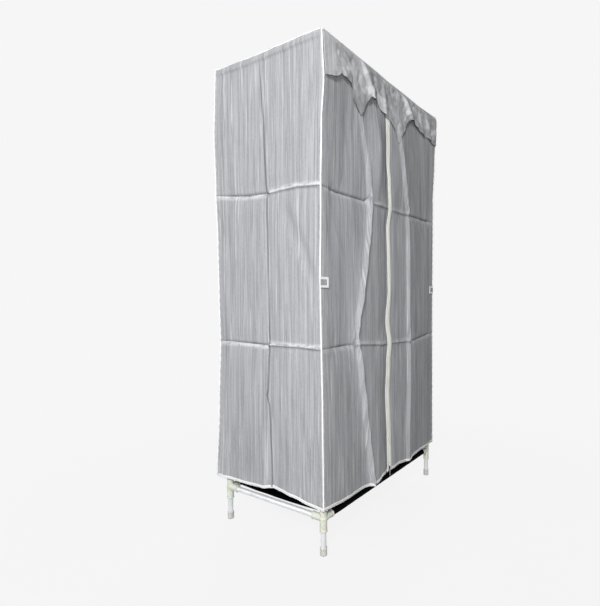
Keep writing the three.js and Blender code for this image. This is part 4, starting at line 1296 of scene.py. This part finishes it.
def makeValanceCloth():  # thin cloth, with a painted highlight on the lit flank of a pleat, painted shadow beside it, painted shade from facet to facet, and darker by set amounts along its width
    material, maker = newMaterial("valanceCloth")
    darkLine, whiteLine = pinstripeTone(maker, dict(pinstripe, linesPerMetre=240))
    tone = (darkLine * 0.55).mixed(rgb(0.66, 0.665, 0.69), rgb(0.49, 0.495, 0.515))
    across, height = clothAxes(maker)
    # painted shade, by set amounts along the valance's width
    shadow = alongTable(across, [(flatShare(share), dark) for share, dark in valanceShadePaint["across"]])
    pale = 0
    tall = valanceFlat["up"] * valance["rows"]
    for topShare, lowShare, rise, _ in pleats:
        if rise > valanceShadePaint["paleFromRise"]:
            away = across - alongTable(height, [(0, flatShare(lowShare)), (tall, flatShare(topShare))])
            # a painted highlight on the pleat's lit flank and a painted shadow beyond it
            pale = away.between(-0.022, -0.015) * away.between(0.002, -0.003) + pale
            shadow = away.between(0, 0.004) * away.between(0.036, 0.008) * valanceShadePaint["shadow"] + shadow
    bend = maker.node("ShaderNodeTexNoise", {"noise_dimensions": "2D"},
                      {"Vector": clothPlace(maker, 30, 30), "Scale": 1, "Detail": 2}, 1)
    cells = clothPlace(maker, valanceShadePaint["facetsAcross"], valanceShadePaint["facetsUp"])
    bent = maker.node("ShaderNodeVectorMath", {"operation": "MULTIPLY_ADD"},
                      {0: bend, 1: (valanceShadePaint["bend"], valanceShadePaint["bend"], 0), 2: cells})
    cellTone = maker.node("ShaderNodeTexVoronoi", {"voronoi_dimensions": "2D"},
                          {"Vector": bent, "Scale": 1}, 1)
    # painted shade and light that differ from facet to facet where the cloth is crumpled
    facetShade = cellTone.between(0.3, 0.7) - 0.5
    shadow = facetShade * across.between(flatShare(-0.95), flatShare(-0.78)) * valanceShadePaint["facet"] + shadow
    crinkle = noiseAt(maker, clothPlace(maker, 70, 70), 1, 3, 0.5)
    striped = (whiteLine * 0.5).mixed(tone, rgb(0.8, 0.8, 0.81))
    lit = (pale * valanceShadePaint["pale"]).mixed(striped, rgb(0.92, 0.92, 0.93))
    colour = shadow.mixed(lit, rgb(0.02, 0.02, 0.022))
    bump = dimples(maker, pinstripe["dimplePitch"]) * 0.03 + crinkle
    shade(maker, {"Base Color": colour, "Roughness": crinkle * 0.2 + 0.55, "Specular IOR Level": 0.15},
          bump, 0.0012)
    return material


valanceCloth = makeValanceCloth()


def valancePoint(column, row):
    end = cover["halfWidth"] - valance["endGap"]
    share = 2 * column / valance["columns"] - 1
    downShare = 1 - row / valance["rows"]
    across = share * end
    top = min(cover["seam"] - 0.0034, seamTop("front", across) - 0.003)
    drop = (straightTable(valanceDrop, share)
            + valance["raggedEdge"] * noise.noise(Vector((across * 70, 3, 1))))
    z = top - drop * downShare
    stand = valance["topStand"] + math.sqrt(downShare) * valance["stand"] * readTable(valanceStand, share)
    for topShare, lowShare, rise, tail in pleats:  # a pleat rises on its left flank and fades to the right
        away = across - lerp(topShare, lowShare, downShare) * end
        flank = smooth(-0.018, 0, away) if away < 0 else 1 - smooth(0, tail, away)
        stand += rise * flank * smooth(0, 0.25, downShare)
    depth = smooth(0, 0.12, downShare)
    slack = depth * smooth(*valance["smoothTo"], share)
    stand += (0.0012 + 0.0026 * slack) * noise.noise(Vector((across * 20, z * 16, 21))) * depth
    facet = noise.voronoi(Vector((across * 19 + z * 6, z * 22 - across * 5, 4)))[0]
    stand += valance["crumple"] * min(0.45, facet[1] - facet[0]) * slack
    stand += 0.0016 * noise.noise(Vector((across * 52, z * 44, 12))) * slack
    return onCover("front", across, z, max(valance["least"], stand + relief("front", across, z, 0) * 0.5))


valanceCover = clothGrid("valanceFlounce", valance["columns"], valance["rows"], valancePoint,
                         lambda c, r: (valanceFlat["start"] + c * valanceFlat["across"],
                                       r * valanceFlat["up"]),
                         valance["thickness"], valanceCloth)

tabs = {
    "border": 0.0074, "thickness": 0.0011, "inset": 0.0025, "grid": 16, "edgeSteps": 8, "sewnEnd": 0.02,
    "bow": 0.0022, "belly": 0.0008, "swell": 0.0003, "stitchPitch": 0.003, "stitchTilt": 0.1,
    "stitchShare": 0.72, "shift": {-1: (-0.009, 0, 0.013), 1: (0.003, 0, 0)}, "deepest": 0.0036,
}


def makeTab(name, node, sign):  # cloth, a border on its three free edges and a row of stitches in the border
    low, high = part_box(node)
    sewnX, freeX = (low.x, high.x) if sign < 0 else (high.x, low.x)
    middleY, middleZ = (low.y + high.y) / 2, (low.z + high.z) / 2
    grid, steps, sewn = tabs["grid"], tabs["edgeSteps"], tabs["sewnEnd"]
    shift = cornerWander((sign, -1), middleZ) + Vector(tabs["shift"][sign])
    shift.y = min(shift.y, tabs["deepest"])

    def place(shareAlong, shareUp):
        x = lerp(sewnX, freeX, shareAlong)
        z = lerp(low.z + tabs["inset"], high.z - tabs["inset"], shareUp)
        bow = tabs["bow"] * shareAlong * shareAlong + tabs["belly"] * math.sin(shareUp * math.pi)
        return Vector((x, middleY - bow + tabs["swell"], z)) + shift

    def pointAt(column, row):
        return place(column / grid if sign < 0 else 1 - column / grid, row / grid)

    cloth = clothGrid(name + "Cloth", grid, grid, pointAt,
                      lambda c, r: (c * 0.0025 + panelShift["tabs"], r * 0.0024),
                      tabs["thickness"], coverCloth)
    half, thick, swell = tabs["border"] / 2, tabs["thickness"] / 2 + 0.0005, tabs["swell"]
    far, upShare = 1 - half / abs(freeX - sewnX), half / (high.z - low.z)
    top = [place(sewn + (1 - 2 * sewn) * i / steps * far, 1 - upShare) for i in range(steps + 1)]
    side = [place(far, 1 - upShare - (1 - 2 * upShare) * i / steps) for i in range(1, steps + 1)]
    bottom = [place(far * (1 - i / steps) + sewn * i / steps, upShare) for i in range(1, steps + 1)]
    profile = [(-half, -thick), (half, -thick), (half + swell, 0), (half, thick), (-half, thick),
               (-half - swell, 0)]
    border = sweep(name + "Border", top + side + bottom, profile, -yAxis, whiteBinding, 50)
    aside = half * tabs["stitchShare"]
    row = [point + Vector((0, -thick, -aside)) for point in top]
    row += [point + Vector((aside * sign, -thick, 0)) for point in side]
    row += [point + Vector((0, -thick, aside)) for point in bottom]
    stitches = repeatAlong(name + "Stitches", [row], stitchTree, tabs["stitchPitch"], tabs["stitchTilt"], 8)
    return cloth, border, stitches


tabLeft = makeTab("tiebackLeft", "tieback_left", -1)
tabRight = makeTab("tiebackRight", "tieback_right", 1)
print("valance and tabs made")


corners = {"front_left": (-1, -1), "front_right": (1, -1), "rear_left": (-1, 1), "rear_right": (1, 1)}
tubes = {"radius": 0.0095, "wall": 0.001, "soft": 0.0003, "sides": 36}
sleeves = {
    "radius": 0.013, "bore": 0.0098, "core": 0.013, "lip": 0.0009, "lipLength": 0.005, "soft": 0.0006,
    "voxel": 0.0013, "smoothing": 4,
}
reaches = {"side": 0.045, "leg": 0.045, "post": 0.035}  # from a connector's middle to its sockets' mouths


def camel(node):
    first, *rest = node.split("_")
    return first + "".join(word.capitalize() for word in rest)


def settle(piece, body, slot, *nodes):  # what a piece rides on and stands for; slot, what it is made of, is not used
    if body:  # the doors' pieces are attached to the root body by squashDoor instead
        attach(piece, body)
    if nodes:
        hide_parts(*nodes)


def makeTube(node):
    low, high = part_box(node)
    size = high - low
    axis = max(range(3), key=lambda i: size[i])
    direction = Vector([1.0 if i == axis else 0.0 for i in range(3)])
    start = (low + high) / 2 - direction * size[axis] / 2
    outer, inner, soft, length = tubes["radius"], tubes["radius"] - tubes["wall"], tubes["soft"], size[axis]
    outline = [(inner, 0), (outer - soft, 0), (outer, soft)]
    outline += [(outer, length * i / 8) for i in range(1, 8)]
    outline += [(outer, length - soft), (outer - soft, length), (inner, length)]
    vertices, meshFaces = lathed(outline, direction, start, tubes["sides"])
    piece = recalculated(makePiece(camel(node) + "Tube", vertices, meshFaces, [tubeSteel], None, 35))
    settle(piece, "root", "tube_steel", node)


def socketShape(centre, direction, reach):  # an open sleeve with a raised lip at its mouth
    outer, bore, core, soft = sleeves["radius"], sleeves["bore"], sleeves["core"], sleeves["soft"]
    lip, end = sleeves["lip"], reach - sleeves["lipLength"]
    outline = [(0, 0), (outer - 0.0008, 0), (outer - soft, end - 0.001), (outer + lip * 0.6, end),
               (outer + lip * 0.6, reach - soft), (outer + lip * 0.2, reach), (bore, reach), (bore, core),
               (0, core)]
    return lathed(outline, direction, centre, 32, False)


def remeshed(name, parts, material):  # crossing parts made one moulded skin
    vertices, meshFaces = joined(parts)
    piece = recalculated(makePiece(name, vertices, meshFaces, [material]))
    remesh = piece.modifiers.new("moulded", "REMESH")
    remesh.mode, remesh.voxel_size, remesh.use_smooth_shade = "VOXEL", sleeves["voxel"], True
    soften = piece.modifiers.new("fillets", "SMOOTH")
    soften.factor, soften.iterations = 0.5, sleeves["smoothing"]
    applied(piece)
    for polygon in piece.data.polygons:
        polygon.use_smooth = True
    if not piece.data.materials:
        piece.data.materials.append(material)
    return piece


def ballShape(centre, radius):
    outline = [(radius * math.sin(math.pi * i / 16), -radius * math.cos(math.pi * i / 16)) for i in range(17)]
    outline[0], outline[-1] = (0, -radius), (0, radius)
    return lathed(outline, (0, 0, 1), centre, 32, False)


def makeConnector(node, centre, sockets):
    parts = [ballShape(centre, sleeves["radius"] + sleeves["soft"])]
    parts += [socketShape(centre, direction, reach) for direction, reach in sockets]
    settle(remeshed(camel(node) + "Plastic", parts, connectorPlastic), "root", "connector_plastic", node)


def makeCap(node):
    low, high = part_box(node)
    radius, height = (high.x - low.x) / 2, high.z - low.z
    outline = [(0, 0), (radius - 0.0022, 0), (radius - 0.0008, 0.0006), (radius, 0.0024),
               (radius - 0.0003, 0.008), (radius - 0.0006, height - 0.0065),
               (radius - 0.0002, height - 0.0055), (radius, height - 0.0045), (radius, height - 0.0012),
               (radius - 0.0008, height), (sleeves["bore"] + 0.0001, height), (sleeves["bore"], 0.004),
               (0, 0.004)]
    foot = Vector(((low.x + high.x) / 2, (low.y + high.y) / 2, low.z))
    vertices, meshFaces = lathed(outline, zAxis, foot, 44, False)
    piece = recalculated(makePiece(camel(node) + "Plastic", vertices, meshFaces, [capPlastic], None, 50))
    settle(piece, "root", "connector_plastic", node)


def centreOf(node, *axes):
    low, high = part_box(node)
    return [(low[axis] + high[axis]) / 2 for axis in axes]


bottomHeight, = centreOf("bottom_rail_front", 2)
midHeight, = centreOf("mid_rail_left", 2)
topHeight, = centreOf("top_rail_front", 2)
for corner, (signX, signY) in corners.items():
    legX, legY = centreOf("leg_tube_" + corner, 0, 1)
    inX, inY = Vector((-signX, 0, 0)), Vector((0, -signY, 0))
    makeCap("foot_cap_" + corner)
    makeConnector("bottom_connector_" + corner, Vector((legX, legY, bottomHeight)),
                  [(-zAxis, reaches["leg"]), (zAxis, reaches["post"]), (inX, reaches["side"]),
                   (inY, reaches["side"])])
    makeConnector("mid_connector_" + corner, Vector((legX, legY, midHeight)),
                  [(-zAxis, reaches["post"]), (zAxis, reaches["post"]), (inY, reaches["side"])])
    makeConnector("top_connector_" + corner, Vector((legX, legY, topHeight)),
                  [(-zAxis, reaches["post"]), (inX, reaches["side"]), (inY, reaches["side"])])
    for part in ("leg_tube_", "lower_upright_", "upper_upright_"):
        makeTube(part + corner)
for level, sides in (("bottom_rail_", ("left", "right", "front", "rear")), ("mid_rail_", ("left", "right")),
                     ("top_rail_", ("left", "right", "front", "rear")), ("hanging_", ("rail",))):
    for side in sides:
        makeTube(level + side)

clip = {"socketEnd": -0.006, "socketLength": 0.026, "webX": 0.005, "webY": 0.0125, "webInset": 0.0108}


def makeClip(node, sign):  # a ring round the top rail, a web below it and a socket for the hanging rail
    low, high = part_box(node)
    railX, = centreOf("top_rail_left" if sign < 0 else "top_rail_right", 0)
    hangHeight, = centreOf("hanging_rail", 2)
    outer, bore, soft, half = sleeves["radius"], sleeves["bore"], sleeves["soft"], (high.y - low.y) / 2
    ringOutline = [(bore, -half), (outer - soft, -half), (outer, -half + soft),
                   (outer, half - soft), (outer - soft, half), (bore, half)]
    ring = lathed(ringOutline, yAxis, Vector((railX, 0, topHeight)), 32)
    end, length = clip["socketEnd"], clip["socketLength"]
    socketOutline = [(0, end), (outer - 0.001, end), (outer, end + 0.001), (outer, length - soft),
                     (outer - soft, length), (bore, length), (bore, 0), (0, 0)]
    socket = lathed(socketOutline, -sign * xAxis, Vector((railX, 0, hangHeight)), 32, False)
    webX, webY, web = clip["webX"], clip["webY"], []
    for z in (hangHeight + clip["webInset"], topHeight - clip["webInset"]):
        web += [Vector((railX + x, y, z))
                for x, y in ((-webX, -webY), (webX, -webY), (webX, webY), (-webX, webY))]
    webFaces = [(3, 2, 1, 0), (4, 5, 6, 7), (0, 1, 5, 4), (1, 2, 6, 5), (2, 3, 7, 6), (3, 0, 4, 7)]
    piece = remeshed(camel(node) + "Plastic", [ring, socket, (web, webFaces)], connectorPlastic)
    settle(piece, "root", "connector_plastic", node)


makeClip("rail_clip_left", -1)
makeClip("rail_clip_right", 1)
print("tube frame made")


railY, = centreOf("bottom_rail_rear", 1)
shelf = {
    "halfLength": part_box("bottom_shelf")[1].x, "sleeveHalf": 0.3535, "railY": railY, "sleeveRadius": 0.0105,
    "notchY": railY - 0.0145, "cut": 0.014, "sheetZ": bottomHeight + 0.01055, "sag": 0.006, "ripple": 0.0016,
    "swell": 0.0005, "thickness": 0.0009, "columns": 150, "sleevePoints": 25, "sheetSteps": 60,
    "sleeveFrom": -55, "sleeveTurn": 305,  # degrees round a rail
}


def shelfProfile():  # from under the front rail, round it, over the sheet and round the rear rail
    sleeve, radius = [], shelf["sleeveRadius"]
    for i in range(shelf["sleevePoints"]):
        angle = math.radians(shelf["sleeveFrom"] - i * (shelf["sleeveTurn"] / (shelf["sleevePoints"] - 1)))
        sleeve.append((-shelf["railY"] + radius * math.cos(angle), bottomHeight + radius * math.sin(angle)))
    mirrored = [(-y, z) for y, z in reversed(sleeve)]
    count = shelf["sheetSteps"]
    sheet = [(lerp(sleeve[-1][0], mirrored[0][0], i / count), shelf["sheetZ"]) for i in range(1, count)]
    return sleeve + sheet + mirrored


shelfLine = shelfProfile()


def shelfEnd(y):  # how far the cloth reaches along X; its corners are cut away at the connectors
    fromNotch = abs(y) - shelf["notchY"]
    if fromNotch > 0:
        return shelf["sleeveHalf"]
    return min(shelf["halfLength"], lerp(shelf["sleeveHalf"], shelf["halfLength"], -fromNotch / shelf["cut"]))


def shelfPoint(column, row):
    y, z = shelfLine[row]
    share = 2 * column / shelf["columns"] - 1
    x = share * shelfEnd(y)
    if shelf["sleevePoints"] <= row < len(shelfLine) - shelf["sleevePoints"]:
        deepShare = 1 - (y / shelf["railY"]) ** 2
        z -= shelf["sag"] * deepShare * (0.8 + 0.2 * (1 - share * share))
        z += shelf["ripple"] * noise.noise(Vector((x * 9, y * 14, 5))) * deepShare
    else:
        around = Vector((0, y + (shelf["railY"] if y < 0 else -shelf["railY"]), z - bottomHeight))
        swell = shelf["swell"] * (1 + noise.noise(Vector((x * 25, y * 60, z * 60))))
        y, z = y + around.normalized().y * swell, z + around.normalized().z * swell
    return Vector((x, y, z))


shelfSheet = clothGrid("bottomShelfCloth", shelf["columns"], len(shelfLine) - 1, shelfPoint,
                       lambda c, r: (c * 0.0052, r * 0.006), shelf["thickness"], shelfCloth)
print("shelf made")


settle(panelLeft, "root", "cover_cloth", "cover_left_panel")
settle(panelRight, "root", "cover_cloth", "cover_right_panel")
settle(panelBack, "root", "cover_cloth", "cover_back_panel")
settle(panelTop, "root", "cover_cloth", "cover_top_panel")
settle(pipingFront, "root", "white_binding", "piping_front")
settle(pipingRear, "root", "white_binding", "piping_rear")
settle(pipingLeft, "root", "white_binding", "piping_top_left")
settle(pipingRight, "root", "white_binding", "piping_top_right")
settle(hemCover, "root", "white_binding", "cover_hem_binding")
settle(coverStitches, "root", "white_binding")
for piece, slot, sign, nodes in ((doorLeft, "cover_cloth", -1, ["door_left_cloth"]),
                                 (doorRight, "cover_cloth", 1, ["door_right_cloth"]),
                                 (hemLeftDoor, "white_binding", -1, []),
                                 (hemRightDoor, "white_binding", 1, []),
                                 (leftStitches, "white_binding", -1, []),
                                 (rightStitches, "white_binding", 1, [])):
    squashDoor(piece, sign)
    settle(piece, None, slot, *nodes)
settle(tapeLeft, "door_left_edge", "zip_tape", "zip_tape_left")
settle(tapeRight, "door_right_edge", "zip_tape", "zip_tape_right")
settle(teethLeft, "door_left_edge", "zip_tape")
settle(teethRight, "door_right_edge", "zip_tape")
settle(slider, "zip_slider", "zip_metal", "zip_slider")
settle(puller, "zip_puller", "zip_metal", "zip_puller")
settle(valanceCover, "valance", "valance_cloth", "valance")
for (cloth, border, row), body in ((tabLeft, "tieback_left"), (tabRight, "tieback_right")):
    settle(cloth, body, "cover_cloth", body)
    settle(border, body, "white_binding")
    settle(row, body, "white_binding")
settle(shelfSheet, "root", "shelf_cloth", "bottom_shelf")

list(tabLeft[1:])
list(tabRight[1:])
print("pieces settled")


stageLook = {
    "half": 9.0, "level": 0.922, "sky": 0.08,  # how pale the background looks, how much it lights the object
    "shadowShare": 0.88, "nearGlow": 0.07, "glowFrom": 0.8, "glowTo": 2.4,  # the floor near the object
}


def lookedAt(maker):  # 1 for what the eye or a reflection sees of the background
    path = maker.node("ShaderNodeLightPath")  # its Is Camera Ray output
    glossy = Value(maker.tree, path.socket.node.outputs["Is Glossy Ray"])
    return (path + glossy).maths("MINIMUM", 1.0)


def makeFloor():
    material, maker = newMaterial("paleFloor")
    fromMiddle = maker.node("ShaderNodeVectorMath", {"operation": "LENGTH"}, {0: objectPlace(maker)}, 1)
    away = fromMiddle.between(stageLook["glowFrom"], stageLook["glowTo"])
    white, level = rgb(1, 1, 1), stageLook["level"]
    near = maker.node("ShaderNodeEmission", None, {"Color": white, "Strength": level + stageLook["nearGlow"]})
    far = maker.node("ShaderNodeEmission", None, {"Color": white, "Strength": level})
    glow = maker.node("ShaderNodeMixShader", None, {0: away, 1: near, 2: far})
    surface = maker.node("ShaderNodeBsdfPrincipled", None,
                         {"Base Color": rgb(0.3, 0.3, 0.3), "Roughness": 0.8, "Specular IOR Level": 0.1})
    plain = away * (1 - stageLook["shadowShare"]) + stageLook["shadowShare"]
    mixed = maker.node("ShaderNodeMixShader", None, {0: lookedAt(maker) * plain, 1: surface, 2: glow})
    output = maker.tree.nodes.new("ShaderNodeOutputMaterial")
    maker.tree.links.new(mixed.socket, output.inputs["Surface"])
    half = stageLook["half"]
    points = [(-half, -half, 0), (half, -half, 0), (half, half, 0), (-half, half, 0)]
    return makePiece("floor", points, [(0, 1, 2, 3)], [material])


def makeSky():
    world = bpy.data.worlds.new("studio")
    bpy.context.scene.world = world
    world.use_nodes = True
    world.node_tree.nodes.clear()
    maker = Value(world.node_tree)
    dim = maker.node("ShaderNodeBackground", None, {"Color": rgb(1, 1, 1), "Strength": stageLook["sky"]})
    pale = maker.node("ShaderNodeBackground", None, {"Color": rgb(1, 1, 1), "Strength": stageLook["level"]})
    mixed = maker.node("ShaderNodeMixShader", None, {0: lookedAt(maker), 1: dim, 2: pale})
    output = world.node_tree.nodes.new("ShaderNodeOutputWorld")
    world.node_tree.links.new(mixed.socket, output.inputs["Surface"])


makeFloor()
makeSky()
lamps = [  # name, place, aimed at, size, watts
    ("keyLamp", (-4.4, -2.2, 3.5), (-0.2, -0.1, 0.95), 1.0, 230),
    ("frontLamp", (-1.7, -1.35, 1.05), (0, -0.25, 0.8), 0.5, 16.5),
    ("sideLamp", (-4.2, 2.6, 2.8), (-0.4, 0, 1.0), 1.0, 64),
    ("rearLamp", (2.4, 3.0, 2.6), (0, 0, 1.0), 1.6, 60),
    ("rightLamp", (3.6, 0.9, 2.4), (0.4, 0, 0.9), 1.6, 60),
]
for name, place, target, size, watts in lamps:
    data = bpy.data.lights.new(name, "AREA")
    data.energy, data.shape, data.size = watts, "DISK", size
    lamp = bpy.data.objects.new(name, data)
    lamp.location = place
    lamp.rotation_euler = (Vector(target) - Vector(place)).to_track_quat("-Z", "Y").to_euler()
    bpy.context.scene.collection.objects.link(lamp)

viewer = {  # degrees and pixels
    "place": (-1.536, -1.119, 0.854), "yaw": 56.71, "pitch": -2.25, "roll": 0.06,
    "focal": 443.1, "centre": (360, 315), "picture": (600, 606), "sensor": 36,
}
pictureWide, pictureHigh = viewer["picture"]
yaw, pitch = math.radians(viewer["yaw"]), math.radians(viewer["pitch"])
ahead = Vector((math.sin(yaw) * math.cos(pitch), math.cos(yaw) * math.cos(pitch), math.sin(pitch)))
rightward = Vector((math.cos(yaw), -math.sin(yaw), 0))
upward = rightward.cross(ahead)
turn = Matrix.Rotation(math.radians(viewer["roll"]), 3, ahead)
rightward, upward = turn @ rightward, turn @ upward
cameraData = bpy.data.cameras.new("camera")
cameraData.sensor_fit = "VERTICAL"
cameraData.sensor_height = cameraData.sensor_width = viewer["sensor"]
cameraData.lens = viewer["focal"] * viewer["sensor"] / pictureHigh
cameraData.shift_x = -(viewer["centre"][0] - pictureWide / 2) / pictureHigh
cameraData.shift_y = (viewer["centre"][1] - pictureHigh / 2) / pictureHigh
camera = bpy.data.objects.new("camera", cameraData)
camera.matrix_world = (Matrix.Translation(viewer["place"])
                       @ Matrix((rightward, upward, -ahead)).transposed().to_4x4())
bpy.context.scene.collection.objects.link(camera)
bpy.context.scene.camera = camera
bpy.context.scene.view_settings.view_transform = "Standard"

for item in (stitchItem, toothItem):
    bpy.data.objects.remove(item)
